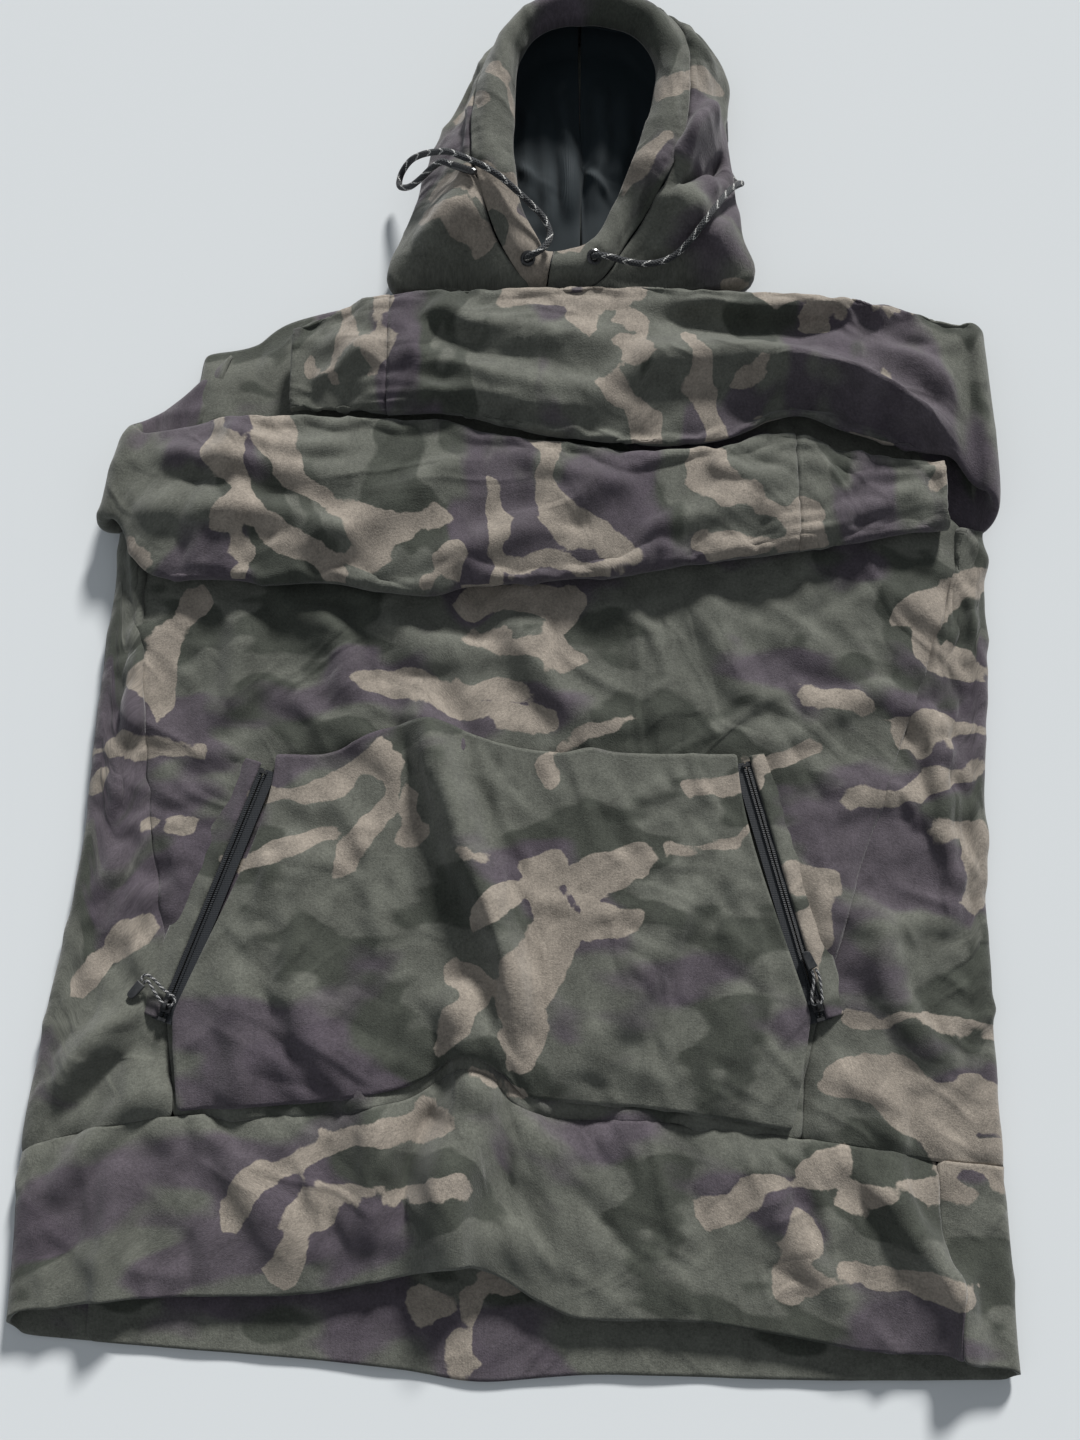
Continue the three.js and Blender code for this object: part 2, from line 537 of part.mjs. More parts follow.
// Angles of the hood's stations, every 9 degrees round from the middle of the neck
const hoodAngle = (k) => -103 + 9 * k;
const CROWN = { from: 18, to: 25 };
const LAST = 40;

const rimHeight = (angle) => mix(RIM.low, RIM.high, smooth(-0.99, -0.45, Math.sin(angle)));
const atNeck = (angle) => 1 - smooth(-0.86, -0.6, Math.sin(angle));

// Middle of the hood's outer cloth. s is 0 at the face opening and 1 at the outline.
function hoodTop(angle, s) {
  const r = mix(radiusAt(OPENING_POLAR, angle), radiusAt(OUTLINE_POLAR, angle), s);
  const edge = mix(18, 12.5, atNeck(angle));
  const crest = 7 * Math.sin(Math.PI * Math.min(1, s * 1.25)) * (1 - atNeck(angle));
  const z = mix(edge, rimHeight(angle), 1 - s ** 2.6) + crest;
  return [HOOD_CENTRE[0] + r * Math.cos(angle), HOOD_CENTRE[1] + r * Math.sin(angle), z];
}

// The band's width as a share of the way from the face opening to the outline
function bandShare(angle, extra = 0) {
  const reach = radiusAt(OUTLINE_POLAR, angle) - radiusAt(OPENING_POLAR, angle);
  return (Math.min(BAND_WIDTH, reach - 6) + extra) / reach;
}

// u is 0 at the band's edge and 1 at the end of the cloth that runs under the hood
function hoodPoint(angle, u) {
  const topShare = 0.5;
  const inner = bandShare(angle, 2.8); // a little clear of the band
  if (u <= topShare) return hoodTop(angle, mix(inner, 0.94, u / topShare));
  const step = Math.round(((u - topShare) / (1 - topShare)) * 4);
  const r = radiusAt(OUTLINE_POLAR, angle) - [3, 1, 2.5, 9, HOOD_UNDER][step];
  const z = [24, 16, 7, BACK_Z, BACK_Z][step];
  const wrapped = [HOOD_CENTRE[0] + r * Math.cos(angle), HOOD_CENTRE[1] + r * Math.sin(angle), z];
  const plain = hoodTop(angle, mix(0.95, 1, step / 4));
  return plain.map((value, k) => mix(wrapped[k], value, atNeck(angle)));
}

function buildHoodShell() {
  const gap = 0.2;
  const panel = (name, first, last) => {
    const grid = [];
    for (let k = first; k <= last; k += 1) {
      const angle = hoodAngle(k) + (k === first ? gap : 0) - (k === last ? gap : 0);
      grid.push(shares(9).map((u) => vector(hoodPoint(degrees(angle), u))));
    }
    part(name, cloth(grid, FLEECE), CAMO);
  };
  panel("hood_panel_left", 0, CROWN.from);
  panel("hood_panel_crown", CROWN.from, CROWN.to);
  panel("hood_panel_right", CROWN.to, LAST);
  const outline = Array.from({ length: LAST }, (_, k) => {
    const angle = degrees(hoodAngle(k));
    const inset = mix(HOOD_UNDER + 1.8, -1, atNeck(angle));
    const r = radiusAt(OUTLINE_POLAR, angle) - inset;
    const x = HOOD_CENTRE[0] + r * Math.cos(angle);
    return [x, Math.max(HOOD_CENTRE[1] + r * Math.sin(angle), along(NECK_AND_SHOULDERS, x) + 1.2)];
  });
  part("hood_panel_back", flat(outline, FLEECE), CAMO);
}

// The lining's section: s is below 0 inside the face opening, h is the height as a share
function buildHoodLining() {
  const profile = [[0, 0.76], [0.3, 0.7], [0.5, 0.48], [0.42, 0.2], [0.1, 0], [-0.45, 0], [-0.9, 0]];
  const half = (name, from, to) => {
    const grid = shares(13).map((t) => {
      const angle = degrees(mix(from + 0.6, to - 0.6, t));
      const [inner, outer] = [radiusAt(OPENING_POLAR, angle), radiusAt(OUTLINE_POLAR, angle)];
      return profile.map(([s, h]) => {
        const r = s > 0 ? mix(inner, outer, s * 0.9) : inner * (1 + s);
        const z = mix(4.4, rimHeight(angle) - 1.5, h);
        return vector([HOOD_CENTRE[0] + r * Math.cos(angle), HOOD_CENTRE[1] + r * Math.sin(angle), z]);
      });
    });
    part(name, cloth(grid, JERSEY), LINING);
  };
  half("hood_lining_left", -90, 90);
  half("hood_lining_right", 90, 270);
}

// The band is the doubled edge of the hood that the drawcord runs in
function bandSurface(angle, share) {
  const [x, y, z] = hoodTop(angle, share * bandShare(angle));
  return vector([x, y, z + BAND_PUFF * Math.sin(Math.PI * share)]);
}

// A frame on the band with its z axis square to the cloth
function bandFrame(angle, share) {
  const step = degrees(2);
  const alongEdge = bandSurface(angle + step, share).sub(bandSurface(angle - step, share));
  const outward = bandSurface(angle, share + 0.1).sub(bandSurface(angle, share - 0.1));
  const normal = outward.cross(alongEdge).normalize();
  const turn = new THREE.Quaternion().setFromUnitVectors(new THREE.Vector3(0, 0, 1), normal);
  return new THREE.Matrix4().compose(bandSurface(angle, share), turn, new THREE.Vector3(1, 1, 1));
}

const EYELETS = { left: { angle: degrees(-85), share: 0.5 }, right: { angle: degrees(248), share: 0.6 } };

function buildBand() {
  const first = 0.45;
  const stations = [first, ...Array.from({ length: LAST - 1 }, (_, k) => k + 1), LAST - first];
  const grid = stations.map((k) => shares(5).map((share) => bandSurface(degrees(hoodAngle(k)), share)));
  let band = solidOf(cloth(grid, FLEECE));
  for (const [name, { angle, share }] of Object.entries(EYELETS)) {
    const place = bandFrame(angle, share);
    const drill = new THREE.CylinderGeometry(EYELET.hole, EYELET.hole, 14, 20).rotateX(Math.PI / 2);
    band = band.subtract(solidOf(drill.applyMatrix4(place)));
    buildEyelet(name, place);
  }
  part("hood_band", geometryOf(band), CAMO);
}

function lathe(profile, segments = 20) {
  const points = profile.map(([r, z]) => new THREE.Vector2(r, z));
  return new THREE.LatheGeometry(points, segments).rotateX(Math.PI / 2);
}

function buildEyelet(name, place) {
  const { bore, barrel, flange } = EYELET;
  const ring = [[bore, -3.9], [barrel, -3.9], [barrel, 2], [flange - 0.4, 2], [flange, 2.6],
    [flange - 1.2, 3.3], [bore + 0.5, 3.3], [bore, 2.7], [bore, -3.9]];
  part(`eyelet_${name}`, lathe(ring).applyMatrix4(place), BLACK_METAL);
  const washer = [[barrel + 0.3, -3.8], [flange - 0.6, -3.8], [flange - 0.6, -3.2], [barrel + 0.3, -3.2],
    [barrel + 0.3, -3.8]];
  part(`eyelet_washer_${name}`, lathe(washer).applyMatrix4(place), BLACK_METAL);
}

// The drawcord is one cord: the middle runs in the band, and each end hangs out of an eyelet
function buildDrawcord() {
  const hidden = [];
  for (let k = 2; k <= LAST - 1; k += 1) {
    const under = new THREE.Vector3(0, 0, -CORD_DEPTH);
    hidden.push(under.applyMatrix4(bandFrame(degrees(hoodAngle(k)), 0.5)).toArray());
  }
  part("drawcord_in_band", cordAlong(hidden, CORD_R, 8, 60), BLACK_CORD);
  for (const [name, points] of [["left", LEFT_CORD], ["right", RIGHT_CORD]]) {
    part(`drawcord_end_${name}`, cordAlong(points, CORD_R, 8, 34), BLACK_CORD);
    const [before, last] = points.slice(-2).map(vector);
    const heading = last.clone().sub(before).normalize();
    const turn = new THREE.Quaternion().setFromUnitVectors(new THREE.Vector3(0, 0, 1), heading);
    const start = last.clone().addScaledVector(heading, CORD_TIP.gap);
    const { radius, length, chamfer } = CORD_TIP;
    const outline = [[0, 0], [radius, 0], [radius, length - chamfer], [radius - 0.7, length], [0, length]];
    const tip = lathe(outline, 12);
    tip.applyMatrix4(new THREE.Matrix4().compose(start, turn, new THREE.Vector3(1, 1, 1)));
    part(`cord_tip_${name}`, tip, BLACK_METAL);
  }
}

buildFrontPanel();
buildBodySidesAndBack();
buildWaistband();
buildPocket();
buildZip("left", ZIPS.left);
buildZip("right", ZIPS.right);
buildSleeves();
buildSleeveHead("sleeve_head_left", LEFT_ARMHOLE, LEFT_SLEEVE.fold + 0.4, 104, 211);
buildSleeveHead("sleeve_head_right", RIGHT_ARMHOLE, RIGHT_SLEEVE.fold - 0.4, 66, 150);
buildHoodShell();
buildHoodLining();
buildBand();
buildDrawcord();

export default garment;
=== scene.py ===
"""A hooded camouflage sweatshirt laid flat on its back with its sleeves folded across the chest.
Metres, +Z up, the hem at -Y and the hood at +Y. Left and right are the wearer's: the left side is +X."""
import bpy
import math
import numpy as np
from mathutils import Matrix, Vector
from mathutils.bvhtree import BVHTree


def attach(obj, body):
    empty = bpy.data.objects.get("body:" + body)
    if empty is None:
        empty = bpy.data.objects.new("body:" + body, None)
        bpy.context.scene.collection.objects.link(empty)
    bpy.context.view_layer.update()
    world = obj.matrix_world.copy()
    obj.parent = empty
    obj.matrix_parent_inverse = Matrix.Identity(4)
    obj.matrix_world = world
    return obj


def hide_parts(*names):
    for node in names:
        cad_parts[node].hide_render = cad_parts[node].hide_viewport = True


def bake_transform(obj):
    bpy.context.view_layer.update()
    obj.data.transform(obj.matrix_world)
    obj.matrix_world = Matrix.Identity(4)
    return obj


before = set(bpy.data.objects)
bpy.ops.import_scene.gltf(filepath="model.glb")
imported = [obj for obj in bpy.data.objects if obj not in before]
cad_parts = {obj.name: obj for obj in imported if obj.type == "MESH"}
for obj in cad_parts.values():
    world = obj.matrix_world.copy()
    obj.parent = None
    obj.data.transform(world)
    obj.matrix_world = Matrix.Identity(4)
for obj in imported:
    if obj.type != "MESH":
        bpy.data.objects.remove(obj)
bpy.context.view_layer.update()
MM = 0.001

# ---------------------------------------------------------------- cloth sizes
BACK_Z = 1.2 * MM       # middle of the cloth that lies on the floor
FRONT_Z = 13.8 * MM     # middle of the cloth on top of the body
FOLD_R = (FRONT_Z - BACK_Z) / 2
ARMPIT_Y = 0.060
HEM_TOP = -0.351        # where the waistband is sewn to the back
BAND_SEAM_X = 0.250     # the seam between the waistband's two halves, on top
BAND_UNDER_X = -0.276   # the other one, underneath
WRAP_AT_HEM, WRAP_AT_ARMPIT = 0.062, 0.020      # how far the side panels reach under the body
ROOF = 0.042            # no fold of the body stands higher
ROOF_UNDER_SLEEVES = 0.0158
SLEEVE_UNDER_Z = 0.0078     # middle of a sleeve between the armhole and its fold
SLEEVE_REST_Z = 0.0178      # lowest point of a sleeve that lies on the body
SLEEVE_HALF_Z = 0.0122      # about half of a sleeve's height where it lies on the body
LEFT_SLEEVE_RISE = 0.005    # the left sleeve lies this much higher, on the right one

# ---------------------------------------------------------------- outlines, in millimetres as (x, y)
WAIST_SEAM = [(-323, -347), (-235, -329), (-149, -323), (-87, -314), (-59, -298), (-42, -294), (-25, -303),
              (-6, -319), (68, -326), (111, -332), (160, -340), (203, -347), (290, -358)]
HEM_FRONT = [(-323, -441), (-206, -428), (-145, -423), (-85, -412), (-43, -404), (0, -425), (24, -434),
             (84, -437), (126, -445), (186, -459), (245, -468), (292, -474)]
HEM_BACK = [(-323, -455), (-238, -462), (-146, -469), (-85, -475), (-36, -482), (36, -478), (158, -481),
            (297, -481)]
LEFT_SEAM = [(160, -340), (168, -299), (177, -266), (198, -200), (221, -135), (241, -78), (262, -20),
             (291, 60)]
RIGHT_SEAM = [(-229, -329), (-237, -268), (-243, -207), (-254, -141), (-262, -76), (-266, -10), (-275, 60)]
LEFT_EDGE = [(292, -474), (288, -358), (287, -263), (289, -193), (295, -94), (303, 10), (306, 60)]
RIGHT_EDGE = [(-323, -441), (-322, -347), (-314, -256), (-303, -193), (-297, -128), (-294, -60), (-291, 10),
              (-290, 60)]
LEFT_ARMHOLE = [(291, 60), (274, 84), (263, 120), (260, 165), (264, 208)]
RIGHT_ARMHOLE = [(-275, 60), (-262, 84), (-250, 120), (-242, 160), (-240, 198)]
NECK_AND_SHOULDERS = [(-240, 198), (-206, 204), (-179, 224), (-108, 240), (-60, 233), (10, 227), (80, 232),
                      (150, 242), (215, 230), (264, 208)]
POCKET_TOP = [(-174, -98), (-138, -97), (-110, -84), (-84, -77), (-60, -79), (-26, -91), (13, -97), (33, -93),
              (56, -97), (130, -98)]
ZIPS = {"left": {"side": 1, "foot": (176, -266), "head": (134, -100)},
        "right": {"side": -1, "foot": (-237, -266), "head": (-178, -100)}}


# ---------------------------------------------------------------- small maths
def smooth(a, b, x):
    t = np.clip((np.asarray(x, float) - a) / (b - a), 0, 1)
    return t * t * (3 - 2 * t)


def mix(a, b, t):
    return a + (b - a) * t


def curve_through(points, count=400):
    """A smooth curve through the points, as `count` points in metres at even steps of length."""
    p = np.array(points, float) * MM
    p = np.vstack([2 * p[0] - p[1], p, 2 * p[-1] - p[-2]])
    made = []
    for k in range(1, len(p) - 2):
        t = np.linspace(0, 1, 24, endpoint=False)[:, None]
        a, b, c, d = p[k - 1:k + 3]
        made.append(0.5 * (2 * b + (c - a) * t + (2 * a - 5 * b + 4 * c - d) * t ** 2
                           + (3 * b - a - 3 * c + d) * t ** 3))
    made = np.vstack([*made, p[-2:-1]])
    run = np.concatenate([[0], np.cumsum(np.linalg.norm(np.diff(made, axis=0), axis=1))])
    at = np.linspace(0, run[-1], count)
    return np.stack([np.interp(at, run, made[:, k]) for k in range(made.shape[1])], axis=1)


def y_at(line, x):
    return np.interp(x, line[:, 0], line[:, 1])


def x_at(line, y):
    order = np.argsort(line[:, 1])
    return np.interp(y, line[order, 1], line[order, 0])


def perlin(p, seed=0):
    """Gradient noise at an N x 3 array of points, about -1 to 1."""
    p = np.asarray(p, float)
    cell = np.floor(p).astype(np.int64)
    f = p - cell
    w = f * f * f * (f * (f * 6 - 15) + 10)
    total = np.zeros(len(p))
    for corner in range(8):
        step = np.array([corner & 1, corner >> 1 & 1, corner >> 2 & 1])
        c = cell + step
        h = c[:, 0] * 374761393 + c[:, 1] * 668265263 + c[:, 2] * 2147483647 + seed * 1274126177
        h &= 0xFFFFFFFF
        h = ((h ^ (h >> 13)) * 1103515245) & 0xFFFFFFFF
        h ^= h >> 16
        angle = (h & 1023) / 1024 * 2 * np.pi
        height = ((h >> 10) & 1023) / 512 - 1
        flat = np.sqrt(1 - height ** 2)
        d = f - step
        value = d[:, 0] * flat * np.cos(angle) + d[:, 1] * flat * np.sin(angle) + d[:, 2] * height
        share = np.prod(np.where(step, w, 1 - w), axis=1)
        total += share * value
    return total * 1.6


def distance_to(points, x, y):
    """(distance, share along) from each x, y to a polyline."""
    p = np.asarray(points, float)
    run = np.concatenate([[0], np.cumsum(np.linalg.norm(np.diff(p, axis=0), axis=1))])
    best = np.full(np.shape(x), 1e9)
    where = np.zeros(np.shape(x))
    for a, b, start in zip(p[:-1], p[1:], run):
        d = b - a
        t = np.clip(((x - a[0]) * d[0] + (y - a[1]) * d[1]) / (d @ d), 0, 1)
        far = np.hypot(x - a[0] - t * d[0], y - a[1] - t * d[1])
        closer = far < best
        best = np.where(closer, far, best)
        where = np.where(closer, (start + t * np.linalg.norm(d)) / run[-1], where)
    return best, where


def stroke(x, y, points, height, width, ends):
    """A soft ridge (or valley) of that height and half width along a given line, in millimetres."""
    line = curve_through(points, 40)
    far, where = distance_to(line, x, y)
    fade = smooth(0, ends, where) * smooth(0, ends, 1 - where)
    return height * MM * fade * np.exp(-(far / (width * MM)) ** 2)


def fold_field(folds, x, y, tall=1.0, wide=1.0, ends=0.2):
    """The sum of the strokes in a list of (points, height, half width)."""
    lift = np.zeros(np.shape(x))
    for points, height, width in folds:
        lift = lift + stroke(x, y, points, tall * height, wide * width, ends)
    return lift


# ---------------------------------------------------------------- meshes
def mesh_object(name, points, faces):
    data = bpy.data.meshes.new(name)
    data.from_pydata([tuple(p) for p in np.asarray(points).reshape(-1, 3)], [], faces)
    data.update()
    data.shade_smooth()
    made = bpy.data.objects.new(name, data)
    bpy.context.scene.collection.objects.link(made)
    return made


def grid_faces(rows, columns, keep=None, closed=False):
    faces = []
    for i in range(rows - 1):
        for j in range(columns if closed else columns - 1):
            k = (j + 1) % columns
            if keep is None or keep[i, j]:
                faces.append((i * columns + j, i * columns + k, (i + 1) * columns + k, (i + 1) * columns + j))
    return faces


def set_attribute(made, name, values):
    attribute = made.data.attributes.new(name, "FLOAT", "POINT")
    attribute.data.foreach_set("value", np.asarray(values, np.float32).ravel())


def set_print(made, uv):
    """The print's coordinates, in metres of cloth as it was cut, kept as a named UV map."""
    layer = made.data.uv_layers.new(name="print")
    index = np.empty(len(made.data.loops), np.int64)
    made.data.loops.foreach_get("vertex_index", index)
    layer.data.foreach_set("uv", np.asarray(uv, np.float32).reshape(-1, 2)[index].ravel())


def points_of(made):
    co = np.empty(len(made.data.vertices) * 3)
    made.data.vertices.foreach_get("co", co)
    return co.reshape(-1, 3)


def move_points(made, points):
    made.data.vertices.foreach_set("co", np.asarray(points, float).ravel())
    made.data.update()


def simulate(made, pins, frames, grow=0.0, pressure=0.0, bending=4.0, gravity=1.0, colliders=()):
    """Runs Blender's cloth on the mesh and keeps its last frame. pins is 1 where the cloth is held."""
    start = points_of(made)
    group = made.vertex_groups.new(name="pins")
    pins = np.round(np.asarray(pins, float).ravel(), 2)
    for value in np.unique(pins):
        if value > 0:
            group.add([int(k) for k in np.flatnonzero(pins == value)], float(value), "REPLACE")
    for other in colliders:
        other.modifiers.new("collide", "COLLISION")
        other.collision.thickness_outer = 0.0012
        other.collision.thickness_inner = 0.004
        other.collision.cloth_friction = 8
    cloth = made.modifiers.new("cloth", "CLOTH")
    s = cloth.settings
    s.quality = 5
    s.mass = 0.25
    s.tension_stiffness = 25
    s.compression_stiffness = 25
    s.shear_stiffness = 8
    s.bending_stiffness = bending
    s.air_damping = 2
    s.vertex_group_mass = "pins"
    s.pin_stiffness = 1
    s.shrink_min = -grow
    s.effector_weights.gravity = gravity
    if pressure:
        s.use_pressure = True
        s.uniform_pressure_force = pressure
    cloth.collision_settings.use_collision = bool(colliders)
    cloth.collision_settings.distance_min = 0.001
    cloth.point_cache.frame_start = 1
    cloth.point_cache.frame_end = frames
    scene = bpy.context.scene
    for number in range(1, frames + 1):
        scene.frame_set(number)
    settled = made.evaluated_get(bpy.context.evaluated_depsgraph_get())
    co = np.empty(len(made.data.vertices) * 3)
    settled.data.vertices.foreach_get("co", co)
    made.modifiers.clear()
    made.vertex_groups.clear()
    for other in colliders:
        other.modifiers.clear()
    scene.frame_set(1)
    co = co.reshape(-1, 3)
    if not np.isfinite(co).all():
        return start
    return co


def finer(made, levels):
    """Applies smooth subdivision, which also carries the attributes and the print's map."""
    split = made.modifiers.new("split", "SUBSURF")
    split.levels = levels
    split.render_levels = levels
    split.uv_smooth = "PRESERVE_BOUNDARIES"
    apply_modifiers(made)


def apply_modifiers(made):
    settled = made.evaluated_get(bpy.context.evaluated_depsgraph_get())
    data = bpy.data.meshes.new_from_object(settled, preserve_all_data_layers=True,
                                           depsgraph=bpy.context.evaluated_depsgraph_get())
    made.modifiers.clear()
    made.data = data
    made.data.shade_smooth()


# ---------------------------------------------------------------- camera, floor and light
def build_stage():
    camera = bpy.data.objects.new("camera", bpy.data.cameras.new("camera"))
    bpy.context.scene.collection.objects.link(camera)
    camera.location = (0, -0.2851, 0.8951)
    camera.rotation_euler = (math.radians(13.5), 0, 0)
    camera.data.sensor_width = 36
    camera.data.lens = 34
    bpy.context.scene.camera = camera
    floor = mesh_object("floor", [(-6, -6, 0), (6, -6, 0), (6, 6, 0), (-6, 6, 0)], [(0, 1, 2, 3)])
    paint = bpy.data.materials.new("floor")
    paint.use_nodes = True
    shader = paint.node_tree.nodes["Principled BSDF"]
    shader.inputs["Base Color"].default_value = (0.66, 0.69, 0.71, 1)
    shader.inputs["Roughness"].default_value = 0.9
    floor.data.materials.append(paint)
    lights = {"key": ("SUN", (0.9, 2.6, 1.45), 0.16, 4.75, (1, 0.985, 0.96)),
              "fill": ("AREA", (-1.4, -1.2, 2.2), 2.2, 5, (0.92, 0.96, 1))}
    for name, (kind, place, size, power, tint) in lights.items():
        data = bpy.data.lights.new(name, kind)
        if kind == "SUN":
            data.angle = size
        else:
            data.size = size
        data.energy = power
        data.color = tint
        light = bpy.data.objects.new(name, data)
        light.location = place
        light.rotation_euler = (Vector((0, 0, 0)) - Vector(place)).to_track_quat("-Z", "Y").to_euler()
        bpy.context.scene.collection.objects.link(light)
    world = bpy.data.worlds.new("world")
    world.use_nodes = True
    world.node_tree.nodes["Background"].inputs["Color"].default_value = (0.85, 0.9, 0.95, 1)
    world.node_tree.nodes["Background"].inputs["Strength"].default_value = 0.30
    bpy.context.scene.world = world
    bpy.context.scene.view_settings.view_transform = "Standard"


# ---------------------------------------------------------------- body
WAIST = curve_through(WAIST_SEAM)
HEM = curve_through(HEM_FRONT)
HEM_LOW = curve_through(HEM_BACK)
SEAMS = {1: curve_through(LEFT_SEAM), -1: curve_through(RIGHT_SEAM)}
EDGES = {1: curve_through(LEFT_EDGE), -1: curve_through(RIGHT_EDGE)}
ARMHOLES = {1: curve_through(LEFT_ARMHOLE), -1: curve_through(RIGHT_ARMHOLE)}
SHOULDERS = curve_through(NECK_AND_SHOULDERS)

BODY_FOLDS = [
    # points, height, half width: the ridge down the middle and the hollows beside it
    ([(-84, -40), (-72, -83), (-58, -130), (-42, -175), (-25, -213), (-18, -251), (-27, -281), (-45, -296)],
     19, 15),
    ([(-112, -90), (-98, -150), (-84, -200), (-66, -245), (-62, -275)], -5, 14),
    ([(-60, -240), (-46, -272), (-43, -300), (-40, -330)], 13, 20),
    ([(6, -190), (4, -240), (3, -275), (-4, -309), (14, -326), (60, -332)], -6, 15),
    ([(-78, -250), (-66, -281), (-60, -309), (-76, -348), (-88, -402)], -10, 12),
    ([(-97, -300), (-103, -340), (-104, -380), (-98, -414)], 9, 18),
    ([(-38, -300), (-40, -347), (-50, -385), (-24, -399), (12, -418)], 10, 16),
    ([(-142, -140), (-153, -213), (-145, -263), (-130, -325)], 7, 22),
    ([(-185, -225), (-186, -290), (-192, -335)], 4, 18),
    ([(-318, -330), (-285, -290), (-247, -256)], 13, 10),
    ([(-312, -385), (-262, -330), (-236, -296)], 8, 11),
    ([(-319, -352), (-284, -312), (-246, -280)], -5, 8),
    ([(-308, -240), (-290, -193), (-268, -150)], 6, 12),
    ([(-286, -110), (-270, -60), (-262, -20)], 5, 10),
    ([(-205, 20), (-200, -26), (-214, -90)], 9, 14),
    ([(-143, 10), (-131, -33), (-127, -70)], 4, 13),
    ([(-20, 10), (0, -40), (40, -80)], 6, 16),
    ([(110, 20), (124, -30), (150, -70)], 3.5, 16),
    ([(100, -180), (70, -232), (45, -290)], 8, 15),
    ([(130, -240), (110, -290), (95, -345)], 5, 14),
    ([(213, -180), (222, -244), (250, -310)], 5, 16),
    ([(258, -60), (262, -140), (272, -220)], 4, 12),
    ([(-58, -318), (-60, -350), (-58, -390), (-52, -440), (-50, -480)], 20, 20),
    ([(200, -350), (225, -400), (262, -450)], 6, 14),
    ([(130, -350), (150, -395), (190, -440)], 4, 13),
    ([(-200, -345), (-160, -380), (-150, -415)], 5, 15),
    ([(-260, -345), (-255, -390), (-270, -430)], 4, 16),
]


def body_lift(x, y):
    """The height of the body's large folds."""
    return fold_field(BODY_FOLDS, x, y, 1.25, 0.85, 0.25)


UNDER, TURN, RIGHT_TOP, MIDDLE, LEFT_TOP = 3, 6, 8, 50, 14
COLUMNS = 2 * UNDER + 2 * TURN + RIGHT_TOP + MIDDLE + LEFT_TOP + 1
RIGHT_COLUMN = UNDER + TURN + RIGHT_TOP
LEFT_COLUMN = RIGHT_COLUMN + MIDDLE
BAND_ROWS, SIDE_ROWS, TOP_ROWS = 13, 50, 17
ARMPIT_ROW = BAND_ROWS + SIDE_ROWS


def under_wrap(y):
    """How far the side panels reach under the body at that height."""
    return mix(WRAP_AT_HEM, WRAP_AT_ARMPIT, smooth(HEM_TOP, ARMPIT_Y, y))


def level(start, end, count, z):
    """Points (x, z) at that height from start up to, but without, end."""
    return [(mix(start, end, t), z) for t in np.linspace(0, 1, count + 1)[:-1]]


def side_turn(side, fold):
    """Points (x, z) round a side of the body: up on the right side and down on the left one."""
    angles = [math.pi * t for t in np.linspace(0, 1, TURN + 1)[:-1]]
    return [(fold + side * FOLD_R * math.sin(a), BACK_Z + FOLD_R * (1 + side * math.cos(a))) for a in angles]


def body_row(v):
    """One row of points (x, z) round the body from the right side's under edge to the left side's,
    and the y of the right and left seams in it."""
    seam_share = np.clip((v - BAND_ROWS) / SIDE_ROWS, 0, 1)
    (rx, ry), (lx, ly) = [SEAMS[side][int(round(seam_share * (len(SEAMS[side]) - 1)))] for side in (-1, 1)]
    right_edge, left_edge = x_at(EDGES[-1], ry), x_at(EDGES[1], ly)
    right_fold, left_fold = right_edge + FOLD_R, left_edge - FOLD_R
    right_under, left_under = right_edge + under_wrap(ry), left_edge - under_wrap(ly)
    row = [*level(right_under, right_fold, UNDER, BACK_Z), *side_turn(-1, right_fold),
           *level(right_fold, rx, RIGHT_TOP, FRONT_Z), *level(rx, lx, MIDDLE, FRONT_Z),
           *level(lx, left_fold, LEFT_TOP, FRONT_Z), *side_turn(1, left_fold),
           *level(left_fold, left_under, UNDER, BACK_Z), (left_under, BACK_Z)]
    return np.array(row), ry, ly


